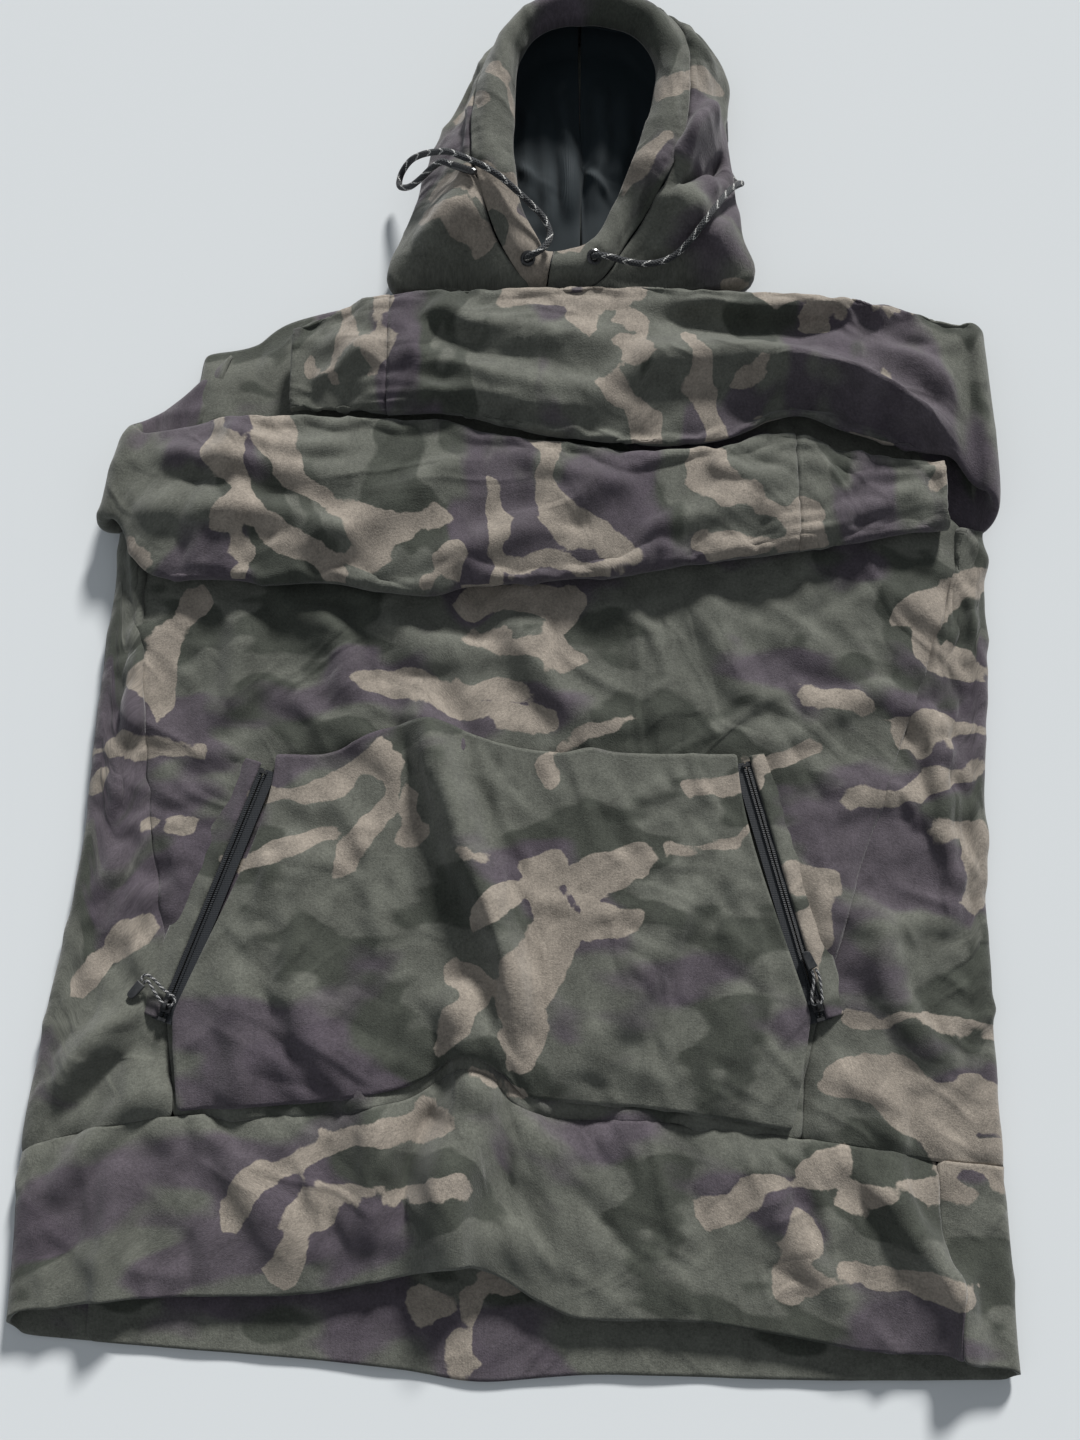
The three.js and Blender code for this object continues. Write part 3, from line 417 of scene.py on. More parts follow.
def body_grid():
    """The body's whole front, sides and waistband as one sheet of rows and columns."""
    base, _, _ = body_row(BAND_ROWS)
    waist_y = y_at(WAIST, base[:, 0])
    turned = np.zeros(COLUMNS)
    turned[:UNDER + TURN + 1] = np.concatenate([np.ones(UNDER), np.linspace(1, 0, TURN + 1)])
    turned[-(UNDER + TURN + 1):] = turned[:UNDER + TURN + 1][::-1]
    grid = []
    low = mix(y_at(HEM, base[:, 0]), y_at(HEM_LOW, base[:, 0]), turned)
    sewn = mix(waist_y, np.minimum(waist_y, HEM_TOP), turned)
    for v in range(BAND_ROWS):
        y = mix(low, sewn, v / BAND_ROWS)
        grid.append(np.stack([base[:, 0], y, base[:, 1]], axis=1))
    across = np.clip((np.arange(COLUMNS) - RIGHT_COLUMN) / MIDDLE, 0, 1)
    low_y = mix(SEAMS[-1][0, 1], SEAMS[1][0, 1], across)
    for v in range(BAND_ROWS, ARMPIT_ROW + 1):
        row, ry, ly = body_row(v)
        risen = (v - BAND_ROWS) / SIDE_ROWS
        seam_y = mix(ry, ly, across)
        y = seam_y + (sewn - low_y) * (1 - risen)
        grid.append(np.stack([row[:, 0], y, row[:, 1]], axis=1))
    armpit = grid[-1]
    inside = slice(RIGHT_COLUMN, LEFT_COLUMN + 1)
    u = across[inside]
    top = SHOULDERS[np.round(u * (len(SHOULDERS) - 1)).astype(int)]
    top_z = mix(0.0046, 0.012, smooth(0.22, 0.3, u) * (1 - smooth(0.7, 0.78, u)))
    for v in range(1, TOP_ROWS + 1):
        t = v / TOP_ROWS
        row = armpit.copy()
        # straight mixes of the armpit row and the shoulders, shifted so that the ends follow the armholes
        plain = mix(armpit[inside, :2], top, t)
        for side, column in ((-1, RIGHT_COLUMN), (1, LEFT_COLUMN)):
            row[column, :2] = ARMHOLES[side][int(round(t * (len(ARMHOLES[side]) - 1)))]
        shift_right = row[RIGHT_COLUMN, :2] - mix(armpit[RIGHT_COLUMN, :2], SHOULDERS[0], t)
        shift_left = row[LEFT_COLUMN, :2] - mix(armpit[LEFT_COLUMN, :2], SHOULDERS[-1], t)
        row[inside, :2] = plain + mix(shift_right, shift_left, u[:, None])
        row[inside, 2] = mix(FRONT_Z, top_z, smooth(0.8, 1, t))
        grid.append(row)
    return np.array(grid)


def zip_frame(name):
    """A zip's lower end, its direction upwards and the direction across it."""
    data = ZIPS[name]
    foot, head = np.array(data["foot"]) * MM, np.array(data["head"]) * MM
    along = (head - foot) / np.linalg.norm(head - foot)
    return foot, along, np.array([along[1], -along[0]])


def near_zips(x, y, reach):
    """1 on the zips' straight lines, falling to 0 at that distance."""
    value = np.zeros(np.shape(x))
    for name in ZIPS:
        foot, along, _ = zip_frame(name)
        far, _ = distance_to([foot - along * 0.008, foot + along * 0.170], x, y)
        value = np.maximum(value, 1 - smooth(0.45 * reach, reach, far))
    return value


def off_cords(x, y):
    """0 under the drawcord's free ends, rising to 1 beside them."""
    value = np.ones(np.shape(x))
    for line in (LEFT_CORD, RIGHT_CORD):
        far, _ = distance_to(np.array(line, float)[:, :2] * MM, x, y)
        value = np.minimum(value, smooth(0.003, 0.011, far))
    return value


def under_pocket(x, y):
    """1 well inside the pocket's outline and 0 outside it."""
    zip_ends = [ZIPS["left"]["foot"][1] * MM, ZIPS["left"]["head"][1] * MM]
    right = np.interp(y, zip_ends, [-0.232, -0.174])
    left = np.interp(y, zip_ends, [0.171, 0.130])
    low = y_at(WAIST, x) + 0.004
    high = y_at(curve_through(POCKET_TOP), x)
    inside = np.minimum(np.minimum(x - right, left - x), np.minimum(y - low, high - y))
    return smooth(0.0, 0.008, inside)


def build_body():
    grid = body_grid()
    rows = len(grid)
    x, y = grid[..., 0], grid[..., 1]
    on_top = np.zeros((rows, COLUMNS))
    on_top[:, UNDER + TURN + 1:-(UNDER + TURN + 1)] = 1
    from_edge = np.minimum(np.abs(x - x_at(EDGES[-1], y)), np.abs(x_at(EDGES[1], y) - x))
    soften = smooth(0.006, 0.03, from_edge) * on_top
    zips = near_zips(x, y, 0.022)
    under_sleeves = smooth(0.02, 0.06, y)
    allowed = soften * (1 - zips) * (1 - 0.7 * under_sleeves)
    grid[..., 2] += 0.3 * body_lift(x, y) * allowed
    keep = np.ones((rows - 1, COLUMNS - 1), bool)
    keep[ARMPIT_ROW:, :RIGHT_COLUMN] = False
    keep[ARMPIT_ROW:, LEFT_COLUMN:] = False
    sheet = mesh_object("body_sheet", grid, grid_faces(rows, COLUMNS, keep))
    pins = 1 - soften * (1 - zips) * (1 - smooth(0.10, 0.13, y))
    table = mesh_object("table", [(-0.7, -0.7, 0.0105), (0.7, -0.7, 0.0105), (0.7, 0.7, 0.0105),
                                  (-0.7, 0.7, 0.0105)],
                        [(0, 1, 2, 3)])
    settled = simulate(sheet, pins, 30, grow=0.05, bending=0.8, gravity=0.15, colliders=[table])
    grid = settled.reshape(grid.shape)
    grid[..., 2] += 0.8 * body_lift(grid[..., 0], grid[..., 1]) * allowed
    move_points(sheet, grid)
    bpy.data.objects.remove(table)
    return sheet, rows


# ---------------------------------------------------------------- the print
# Where the print's tan patches lie on what shows: a line in millimetres and a half width.
BODY_TAN = [
    ([(-42, 11), (14, 8)], 10.5), ([(14, 8), (0, -26), (29, -36)], 9), ([(-47, -19), (3, -26)], 6.5),
    ([(-120, -48), (-80, -52), (-47, -69), (3, -75)], 7.5), ([(-67, -51), (-40, -53), (-7, -55)], 5.5),
    ([(8, -108), (20, -84), (66, -73)], 5.5), ([(177, -55), (213, -62), (242, -80), (295, -80)], 6),
    ([(242, -84), (265, -91)], 8), ([(247, 3), (304, 28)], 9), ([(272, 10), (263, -26), (298, -43)], 9),
    ([(203, -125), (236, -127), (293, -105)], 6.5), ([(261, -148), (290, -154), (274, -193)], 10),
    ([(98, -121), (131, -118), (145, -103), (180, -89)], 6.5),
    ([(84, -162), (117, -160), (140, -147)], 4.5),
    ([(165, -180), (191, -180), (174, -216), (165, -247)], 8),
    ([(-185, -125), (-138, -123), (-103, -93)], 6.5), ([(-104, -101), (-102, -128), (-122, -174)], 8),
    ([(-198, -169), (-156, -161), (-134, -148)], 6), ([(-89, -121), (-81, -151)], 5.5),
    ([(-45, -209), (-13, -193), (39, -169), (60, -169)], 7.5),
    ([(3, -180), (13, -212), (-6, -250), (-13, -284)], 16.5), ([(39, -180), (32, -212), (59, -206)], 10.5),
    ([(-57, -241), (-38, -250), (-60, -275)], 9), ([(-49, -167), (-29, -169)], 4),
    ([(-297, -96), (-258, -91), (-222, -94)], 5.5), ([(-292, -118), (-277, -108)], 4),
    ([(-255, -145), (-225, -147)], 4.5), ([(-295, -250), (-275, -225), (-250, -209)], 8),
    ([(-259, -77), (-256, -19), (-231, 10)], 8.5),
    ([(-188, -385), (-166, -359), (-124, -341), (-50, -328)], 8),
    ([(-152, -397), (-129, -379), (-49, -368)], 6), ([(-157, -420), (-146, -397), (-144, -377)], 8),
    ([(107, -385), (135, -371), (182, -356)], 8),
    ([(188, -305), (219, -305), (255, -318), (286, -323)], 11),
    ([(224, -326), (260, -347), (284, -356)], 13), ([(190, -377), (227, -371), (264, -374)], 6.5),
    ([(145, -425), (188, -420), (260, -429)], 5.5), ([(151, -428), (159, -394)], 9),
    ([(196, -269), (227, -266), (280, -275)], 4.5), ([(-38, -302), (-16, -314)], 4.5),
]
UNDER_TAN = [
    ([(-73, -439), (-43, -436), (3, -398)], 9), ([(-43, -442), (-47, -473)], 6.5),
    ([(79, -440), (86, -442)], 3.5), ([(169, -475), (182, -473)], 3.5),
]
RIGHT_SLEEVE_TAN = [
    ([(-222, 134), (-205, 86), (-211, 57)], 9), ([(-187, 130), (-162, 86), (-107, 50), (-67, 61)], 10.5),
    ([(-211, 68), (-160, 43), (-139, 22)], 7.5), ([(-204, 57), (-199, 22)], 5.5),
    ([(-160, 40), (-119, 29), (-80, 57)], 5.5), ([(-34, 86), (-27, 50), (-26, 18)], 6),
    ([(-79, 15), (-53, 36)], 6), ([(3, 122), (7, 79), (20, 54), (57, 40)], 10.5),
    ([(-17, 29), (40, 29)], 6), ([(112, 122), (121, 79), (148, 72), (186, 40)], 8.5),
    ([(107, 43), (187, 43)], 5.5), ([(109, 141), (115, 115)], 6.5), ([(168, 68), (182, 64)], 6),
    ([(264, 111), (273, 86)], 5.5), ([(-280, 43), (-259, 29)], 5.5),
]
LEFT_SLEEVE_TAN = [
    ([(-17, 226), (24, 224), (66, 227)], 8), ([(14, 226), (35, 196)], 9), ([(59, 226), (66, 198)], 8),
    ([(150, 230), (212, 222)], 7.5), ([(188, 220), (194, 206)], 6), ([(236, 218), (264, 216)], 4),
    ([(64, 184), (70, 168)], 8), ([(44, 156), (62, 144), (76, 124)], 9),
    ([(104, 188), (110, 150), (120, 112)], 8.5), ([(138, 160), (150, 166)], 5),
    ([(-135, 222), (-130, 183), (-137, 161)], 6),
    ([(-111, 225), (-111, 165)], 5.5), ([(-161, 172), (-144, 168)], 4.5), ([(236, 176), (235, 157)], 4.5),
]
HOOD_TAN = [
    ([(-71, 310), (-28, 302), (-7, 270)], 12), ([(-78, 286), (-42, 270)], 8.5),
    ([(14, 266), (35, 270)], 4.5), ([(90, 379), (131, 400)], 6), ([(86, 338), (57, 306)], 4.5),
    ([(-65, 375), (-47, 371)], 4), ([(-25, 396), (-18, 363)], 4), ([(129, 248), (154, 244)], 5.5),
]


def tan_field(x, y, patches):
    """Above 0 inside the patches and below 0 outside, in metres."""
    field = np.full(np.shape(x), -0.05)
    where = np.stack([np.ravel(x) * 26, np.ravel(y) * 34, np.zeros(np.size(x))], axis=1)
    x = x + 0.0105 * perlin(where, 31).reshape(np.shape(x))
    y = y + 0.0065 * perlin(where * 1.3, 32).reshape(np.shape(x))
    for points, width in patches:
        far, where = distance_to(np.array(points, float) * MM, x, y)
        wide = width * MM * (1.05 + 0.35 * np.sin(9 * where + points[0][0]))
        field = np.maximum(field, wide - far)
    where = np.stack([np.ravel(x) * 60, np.ravel(y) * 75, np.zeros(np.size(x))], axis=1)
    return field + 0.0042 * perlin(where, 33).reshape(np.shape(x))


def printed_field(uv, seed):
    """The same for cloth where no patch is listed: blobs wider than they are deep."""
    u, v = uv[..., 0].ravel(), uv[..., 1].ravel()
    where = np.stack([u * 9, v * 19, np.full(len(u), seed * 3.7)], axis=1)
    detail = np.stack([u * 30, v * 42, np.full(len(u), seed * 1.3)], axis=1)
    value = perlin(where, seed) + 0.35 * perlin(detail, seed + 9) - 0.42
    return value.reshape(uv.shape[:-1]) * 0.035


# ---------------------------------------------------------------- materials
class Nodes:
    """A short way to write a node tree."""

    def __init__(self, name):
        self.material = bpy.data.materials.new(name)
        self.material.use_nodes = True
        self.tree = self.material.node_tree
        self.shader = self.tree.nodes["Principled BSDF"]

    def add(self, kind, inputs=(), **settings):
        node = self.tree.nodes.new(kind)
        for key, value in settings.items():
            setattr(node, key, value)
        for key, value in dict(inputs).items():
            if isinstance(value, bpy.types.NodeSocket):
                self.tree.links.new(value, node.inputs[key])
            else:
                node.inputs[key].default_value = value
        return node

    def maths(self, operation, a, b=0.0, clamp=False):
        return self.add("ShaderNodeMath", {0: a, 1: b}, operation=operation, use_clamp=clamp).outputs[0]

    def noise(self, where, scale, detail=2.0, rough=0.5):
        inputs = {"Vector": where, "Scale": scale, "Detail": detail, "Roughness": rough}
        return self.add("ShaderNodeTexNoise", inputs).outputs[0]

    def step(self, value, low, high):
        inputs = {"Value": value, "From Min": low, "From Max": high}
        return self.add("ShaderNodeMapRange", inputs, interpolation_type="SMOOTHSTEP").outputs[0]

    def blend(self, share, a, b, how="MIX"):
        node = self.tree.nodes.new("ShaderNodeMix")
        node.data_type = "RGBA"
        node.blend_type = how
        for socket, value in ((node.inputs[0], share), (node.inputs[6], a), (node.inputs[7], b)):
            if isinstance(value, bpy.types.NodeSocket):
                self.tree.links.new(value, socket)
            else:
                socket.default_value = value
        return node.outputs[2]

    def stretched(self, where, scale):
        return self.add("ShaderNodeVectorMath", {0: where, 1: scale}, operation="MULTIPLY").outputs[0]

    def bump(self, height, distance, strength=1.0, under=None):
        inputs = {"Height": height, "Distance": distance, "Strength": strength}
        if under is not None:
            inputs["Normal"] = under
        return self.add("ShaderNodeBump", inputs).outputs[0]

    def finish(self, **sockets):
        for key, value in sockets.items():
            socket = self.shader.inputs[key.replace("_", " ")]
            if isinstance(value, bpy.types.NodeSocket):
                self.tree.links.new(value, socket)
            else:
                socket.default_value = value
        return self.material


OLIVE = (0.106, 0.110, 0.094, 1)
GREEN = (0.050, 0.055, 0.045, 1)
PURPLE = (0.074, 0.060, 0.077, 1)
TAN = (0.245, 0.215, 0.182, 1)


# heading in radians, creases per metre along and across it, and height in metres
CREASES = [(0.5, (9, 34, 1), 0.0012), (-0.75, (11, 41, 1), 0.0010), (1.35, (8, 37, 1), 0.0010)]


def fine_crease(n, where, turn, size):
    """Thin creases that run one way, in bunches with smooth cloth between them."""
    bent = n.add("ShaderNodeTexNoise", {"Vector": where, "Scale": 9, "Detail": 1}).outputs["Color"]
    shift = n.add("ShaderNodeVectorMath", {0: bent, 1: (0.05, 0.05, 0.0)}, operation="MULTIPLY").outputs[0]
    place = n.add("ShaderNodeVectorMath", {0: where, 1: shift}, operation="ADD").outputs[0]
    turned = n.add("ShaderNodeVectorRotate", {"Vector": place, "Angle": turn},
                   rotation_type="Z_AXIS").outputs[0]
    ridge = n.maths("ABSOLUTE", n.maths("SUBTRACT", n.noise(n.stretched(turned, size), 1.0, 1, 0.4), 0.5))
    sharp = n.step(n.maths("SUBTRACT", 0.0, ridge), -0.13, 0.0)
    bunch = n.step(n.noise(n.stretched(turned, (6, 8, 1)), 1.0, 1, 0.5), 0.46, 0.66)
    return n.maths("MULTIPLY", sharp, bunch)


def camouflage(name, shade=1.0):
    """Brushed fleece printed with soft olive, green and purple-brown patches under hard-edged tan ones."""
    n = Nodes(name)
    where = n.add("ShaderNodeUVMap", uv_map="print").outputs[0]
    tan = n.add("ShaderNodeAttribute", attribute_name="tan").outputs["Fac"]
    wide = n.stretched(where, (5.5, 10, 1))
    shifted = n.add("ShaderNodeVectorMath", {0: wide, 1: (7.3, 2.1, 4.0)}, operation="ADD").outputs[0]
    edge = n.noise(where, 75, 3, 0.6)
    ragged = n.maths("MULTIPLY", n.maths("SUBTRACT", edge, 0.5), 0.007)
    lobes = n.maths("MULTIPLY", n.maths("SUBTRACT", n.noise(where, 34, 1.5, 0.5), 0.5), 0.013)
    inside = n.step(n.maths("ADD", tan, n.maths("ADD", ragged, lobes)), -0.0005, 0.0007)
    purple = n.step(n.noise(wide, 1.0, 3, 0.5), 0.515, 0.565)
    green = n.step(n.noise(shifted, 1.3, 3, 0.55), 0.525, 0.555)
    colour = n.blend(green, OLIVE, GREEN)
    colour = n.blend(n.maths("MULTIPLY", purple, 0.85), colour, PURPLE)
    colour = n.blend(inside, colour, TAN)
    heather = n.noise(where, 520, 4, 0.8)
    cloudy = n.noise(where, 60, 4, 0.6)
    mottled = n.maths("ADD", n.maths("MULTIPLY", heather, 0.75), n.maths("MULTIPLY", cloudy, 0.5))
    tint = n.add("ShaderNodeMapRange", {"Value": mottled, "From Min": 0.4, "From Max": 0.85,
                                        "To Min": 0.50 * shade, "To Max": 1.50 * shade}).outputs[0]
    grey = n.add("ShaderNodeCombineColor", {0: tint, 1: tint, 2: tint}).outputs[0]
    colour = n.blend(1.0, colour, grey, "MULTIPLY")
    knit = n.add("ShaderNodeTexWave", {"Vector": where, "Scale": 330, "Distortion": 2.5, "Detail": 1,
                                       "Detail Scale": 3}, bands_direction="X").outputs["Fac"]
    fuzz = n.bump(n.noise(where, 900, 3, 0.65), 0.0009, 0.55)
    normal = n.bump(knit, 0.00025, 0.25, fuzz)
    for turn, size, height in CREASES:
        normal = n.bump(fine_crease(n, where, turn, size), height, 0.9, normal)
    rough = n.add("ShaderNodeMapRange", {"Value": cloudy, "To Min": 0.82, "To Max": 0.98}).outputs[0]
    return n.finish(Base_Color=colour, Roughness=rough, Normal=normal, Sheen_Weight=0.22,
                    Sheen_Roughness=0.45, Specular_IOR_Level=0.25)


def lining_cloth():
    """Dark teal-black jersey with fine ribs."""
    n = Nodes("hood_lining")
    where = n.add("ShaderNodeUVMap", uv_map="print").outputs[0]
    colour = n.blend(n.noise(where, 700, 3, 0.7), (0.003, 0.008, 0.011, 1), (0.009, 0.021, 0.029, 1))
    colour = n.blend(n.step(n.noise(where, 30, 3, 0.6), 0.3, 0.75), colour, (0.005, 0.013, 0.018, 1))
    ribs = n.add("ShaderNodeTexWave", {"Vector": where, "Scale": 420, "Distortion": 1.2},
                 bands_direction="X").outputs["Fac"]
    return n.finish(Base_Color=colour, Roughness=0.8, Normal=n.bump(ribs, 0.0003, 0.6), Sheen_Weight=0.03,
                    Sheen_Roughness=0.4)


def braided_cord(name, white, period, share):
    """Round braid: `run` is the length along it and `turn` the way round it, both from the mesh. Its colour
    holds painted shade: darker in the grooves between the strands.
    """
    n = Nodes(name)
    run = n.add("ShaderNodeAttribute", attribute_name="run").outputs["Fac"]
    turn = n.add("ShaderNodeAttribute", attribute_name="turn").outputs["Fac"]
    along = n.maths("MULTIPLY", run, 2600)
    round_it = n.maths("MULTIPLY", turn, 18.85)
    one = n.maths("SINE", n.maths("ADD", along, round_it))
    two = n.maths("SINE", n.maths("SUBTRACT", along, round_it))
    plait = n.maths("MAXIMUM", one, two)
    phase = n.maths("FRACT", n.maths("ADD", n.maths("DIVIDE", run, period), n.maths("MULTIPLY", turn, 1.0)))
    tracer = n.maths("LESS_THAN", phase, share)
    thread = n.maths("MULTIPLY", tracer, n.step(plait, 0.1, 0.5))
    # painted shade: the black yarn is coloured darker in the grooves and lighter on the strands' crowns
    dark = n.blend(n.step(plait, 0.2, 0.95), (0.006, 0.007, 0.009, 1), (0.036, 0.040, 0.046, 1))
    return n.finish(Base_Color=n.blend(thread, dark, white), Roughness=0.75,
                    Normal=n.bump(plait, 0.0004, 0.8), Sheen_Weight=0.1)


def object_noise(n, scale, detail=2.0):
    return n.noise(n.add("ShaderNodeTexCoord").outputs["Object"], scale, detail)


def zip_tape():
    """Dark woven tape: a fine grid of warp and weft, with painted shade in the gaps between the threads."""
    n = Nodes("zip_tape")
    place = n.add("ShaderNodeTexCoord").outputs["Object"]
    warp = n.add("ShaderNodeTexWave", {"Vector": place, "Scale": 330, "Distortion": 0.4},
                 bands_direction="X").outputs["Fac"]
    weft = n.add("ShaderNodeTexWave", {"Vector": place, "Scale": 260, "Distortion": 0.4},
                 bands_direction="Y").outputs["Fac"]
    weave = n.maths("MAXIMUM", warp, weft)
    # painted shade: darker where neither warp nor weft rises, lighter on the threads
    colour = n.blend(weave, (0.002, 0.003, 0.005, 1), (0.007, 0.010, 0.015, 1))
    colour = n.blend(n.maths("MULTIPLY", object_noise(n, 90, 3), 0.25), colour, (0.014, 0.018, 0.023, 1))
    return n.finish(Base_Color=colour, Roughness=0.62, Normal=n.bump(weave, 0.0002, 0.7), Sheen_Weight=0.08)


def zip_teeth():
    """Coil teeth, 1.25 mm apart along the zip, with painted shade between the teeth."""
    n = Nodes("zip_teeth")
    place = n.add("ShaderNodeTexCoord").outputs["Object"]
    coil = n.add("ShaderNodeTexWave", {"Vector": place, "Scale": 250}, bands_direction="Y").outputs["Fac"]
    # painted shade: darker in the gaps between the teeth, lighter on their crowns
    colour = n.blend(coil, (0.002, 0.003, 0.004, 1), (0.016, 0.020, 0.026, 1))
    return n.finish(Base_Color=colour, Roughness=0.38, Normal=n.bump(coil, 0.0007, 0.9))


def black_finish(name, low, high, roughness, metallic, edge_lightening):
    """Painted metal or moulded plastic: small scuffs, and a lighter grey on the sharp edges."""
    n = Nodes(name)
    scuff = n.step(object_noise(n, 900, 4), 0.35, 0.75)
    colour = n.blend(scuff, low, high)
    # the colour turns lighter grey on sharp edges, where pointiness is high
    pointed = n.step(n.add("ShaderNodeNewGeometry").outputs["Pointiness"], 0.53, 0.62)
    colour = n.blend(n.maths("MULTIPLY", pointed, edge_lightening), colour, (0.20, 0.20, 0.20, 1))
    rough = n.add("ShaderNodeMapRange", {"Value": scuff, "To Min": roughness - 0.08,
                                         "To Max": roughness + 0.14}).outputs[0]
    return n.finish(Base_Color=colour, Roughness=rough, Metallic=metallic,
                    Normal=n.bump(object_noise(n, 1600, 3), 0.0001, 0.4))


# ---------------------------------------------------------------- cloth pieces
def dress(made, uv, tan, material):
    """Gives a piece its print coordinates, its tan patches and its material."""
    set_print(made, uv)
    if tan is not None:
        set_attribute(made, "tan", tan)
    made.data.materials.append(material)


def seam_edges(grid, edges, sink=0.0034, inset=0.0):
    """Turns the named edges of a grid down a little and in from the seam."""
    grid = grid.copy()
    for edge in edges:
        view = {"first_row": grid, "last_row": grid[::-1], "first_column": grid.swapaxes(0, 1),
                "last_column": grid.swapaxes(0, 1)[::-1]}[edge]
        inward = view[1] - view[0]
        view[0] += inset * inward / np.maximum(np.linalg.norm(inward, axis=-1, keepdims=True), 1e-6)
        view[0, ..., 2] -= sink * smooth(0.004, 0.010, view[0, ..., 2])
    return grid


def lengths(grid, axis):
    """The distance along the grid's rows or columns from their start."""
    step = np.linalg.norm(np.diff(grid, axis=axis), axis=-1)
    run = np.cumsum(step, axis=axis)
    first = np.zeros_like(np.take(run, [0], axis=axis))
    return np.concatenate([first, run], axis=axis)


def cut_pattern(grid, origin=(0, 0)):
    """The cloth's own coordinates: metres along the grid's columns and up its rows."""
    u = lengths(grid, 1)
    v = lengths(grid, 0)
    return np.stack([u - u[:, -1:] / 2 + origin[0], v + origin[1]], axis=-1)


def flat_area(grid, closed=False):
    """The area of the grid's cloth."""
    if closed:
        grid = np.concatenate([grid, grid[:, :1]], axis=1)
    a = grid[1:, :-1] - grid[:-1, :-1]
    b = grid[:-1, 1:] - grid[:-1, :-1]
    c = grid[1:, :-1] - grid[1:, 1:]
    d = grid[:-1, 1:] - grid[1:, 1:]
    return (np.linalg.norm(np.cross(a, b), axis=-1).sum() + np.linalg.norm(np.cross(c, d), axis=-1).sum()) / 2


def wrinkle(points, normals, seed, size, height, stretch=(1, 1, 1)):
    """Fine creases: ridged noise pushed along the normals."""
    where = points / size * np.array(stretch)
    ridge = 1 - np.abs(perlin(where, seed)) * 2
    return points + normals * (height * np.clip(ridge, -0.2, 1) ** 2 * 0.8)[:, None]


def creased(points, normals, seed, heading, fine):
    """Scattered straight creases, most of them close to the heading, in radians from +X."""
    draw = np.random.default_rng(seed)
    spread = np.ptp(points[:, :2], axis=0)
    count = int(30 + 420 * spread[0] * spread[1])
    push = np.zeros(len(points))
    for _ in range(count):
        middle = points[draw.integers(len(points))]
        turn = heading + draw.normal(0, 0.45)
        length = draw.uniform(0.020, 0.075)
        width = draw.uniform(0.0032, 0.0065)
        height = fine * draw.uniform(1.2, 3.4) * draw.choice([1, 1, -0.7])
        away = points - middle
        along = away[:, 0] * math.cos(turn) + away[:, 1] * math.sin(turn)
        off = away[:, 1] * math.cos(turn) - away[:, 0] * math.sin(turn)
        off = np.hypot(off + 6 * along ** 2 * draw.normal(0, 1), 0.6 * away[:, 2])
        near = (np.abs(along) < length) & (off < 4 * width)
        fade = np.cos(np.pi / 2 * along[near] / length) ** 1.5
        push[near] += height * fade * np.exp(-(off[near] / width) ** 1.5)
    return points + normals * push[:, None]


def cloth_piece(name, body, grid, uv, tan, material, replaces, levels=1, thick=2.0, closed=False, keep=None,
                flat=None, fine=0.0009, bend=None, area=None, heading=1.9):
    """A sheet of cloth from a grid: subdivided, finely creased and given a thickness."""
    rows, columns = grid.shape[:2]
    made = mesh_object(name, grid, grid_faces(rows, columns, keep, closed))
    dress(made, uv, tan, material)
    if closed:
        close_print(made, columns, uv)
    finer(made, levels)
    if fine:
        points = points_of(made)
        normals = np.empty(len(points) * 3)
        made.data.vertices.foreach_get("normal", normals)
        normals = normals.reshape(-1, 3)
        seed = sum(ord(letter) for letter in name) % 97
        warped = 0.02 * np.stack([perlin(points * 14, seed + k) for k in (1, 2, 3)], axis=1)
        calm = 1 - near_zips(points[:, 0], points[:, 1], 0.024)
        calm = calm * off_cords(points[:, 0], points[:, 1])
        calm = (calm * smooth(0.002, 0.008, points[:, 2]))[:, None]
        smooth_points = points
        wrinkled = wrinkle(points + warped, normals, seed, 0.085, fine * 2.2, (1.2, 0.8, 1))
        points = points + (wrinkled - points - warped)
        points = creased(points, normals, seed, heading, fine)
        points = smooth_points + (points - smooth_points) * calm
        move_points(made, points)
    shell = made.modifiers.new("thickness", "SOLIDIFY")
    shell.thickness = thick * MM
    shell.offset = 0
    apply_modifiers(made)
    if bend:
        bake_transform(made)
    else:
        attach(made, body)
    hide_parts(*replaces)
    area = area or flat_area(grid, closed)
    if flat is None:
        flat = (1.01 * float(lengths(grid, 1)[:, -1].max()), 1.01 * float(lengths(grid, 0)[-1].max()))
    flat = (round(flat[0], 3), round(flat[1], 3))
    return made


def close_print(made, columns, uv):
    """On a closed tube the last column of faces runs on to the full width, not back to the start."""
    width = float(2 * uv[:, -1, 0].mean() - uv[:, -2, 0].mean() - uv[:, 0, 0].mean())
    layer = made.data.uv_layers["print"]
    for polygon in made.data.polygons:
        corners = [made.data.loops[k].vertex_index % columns for k in polygon.loop_indices]
        if max(corners) - min(corners) > 1:
            for k in polygon.loop_indices:
                if made.data.loops[k].vertex_index % columns == 0:
                    layer.data[k].uv[0] += width


# ---------------------------------------------------------------- body pieces


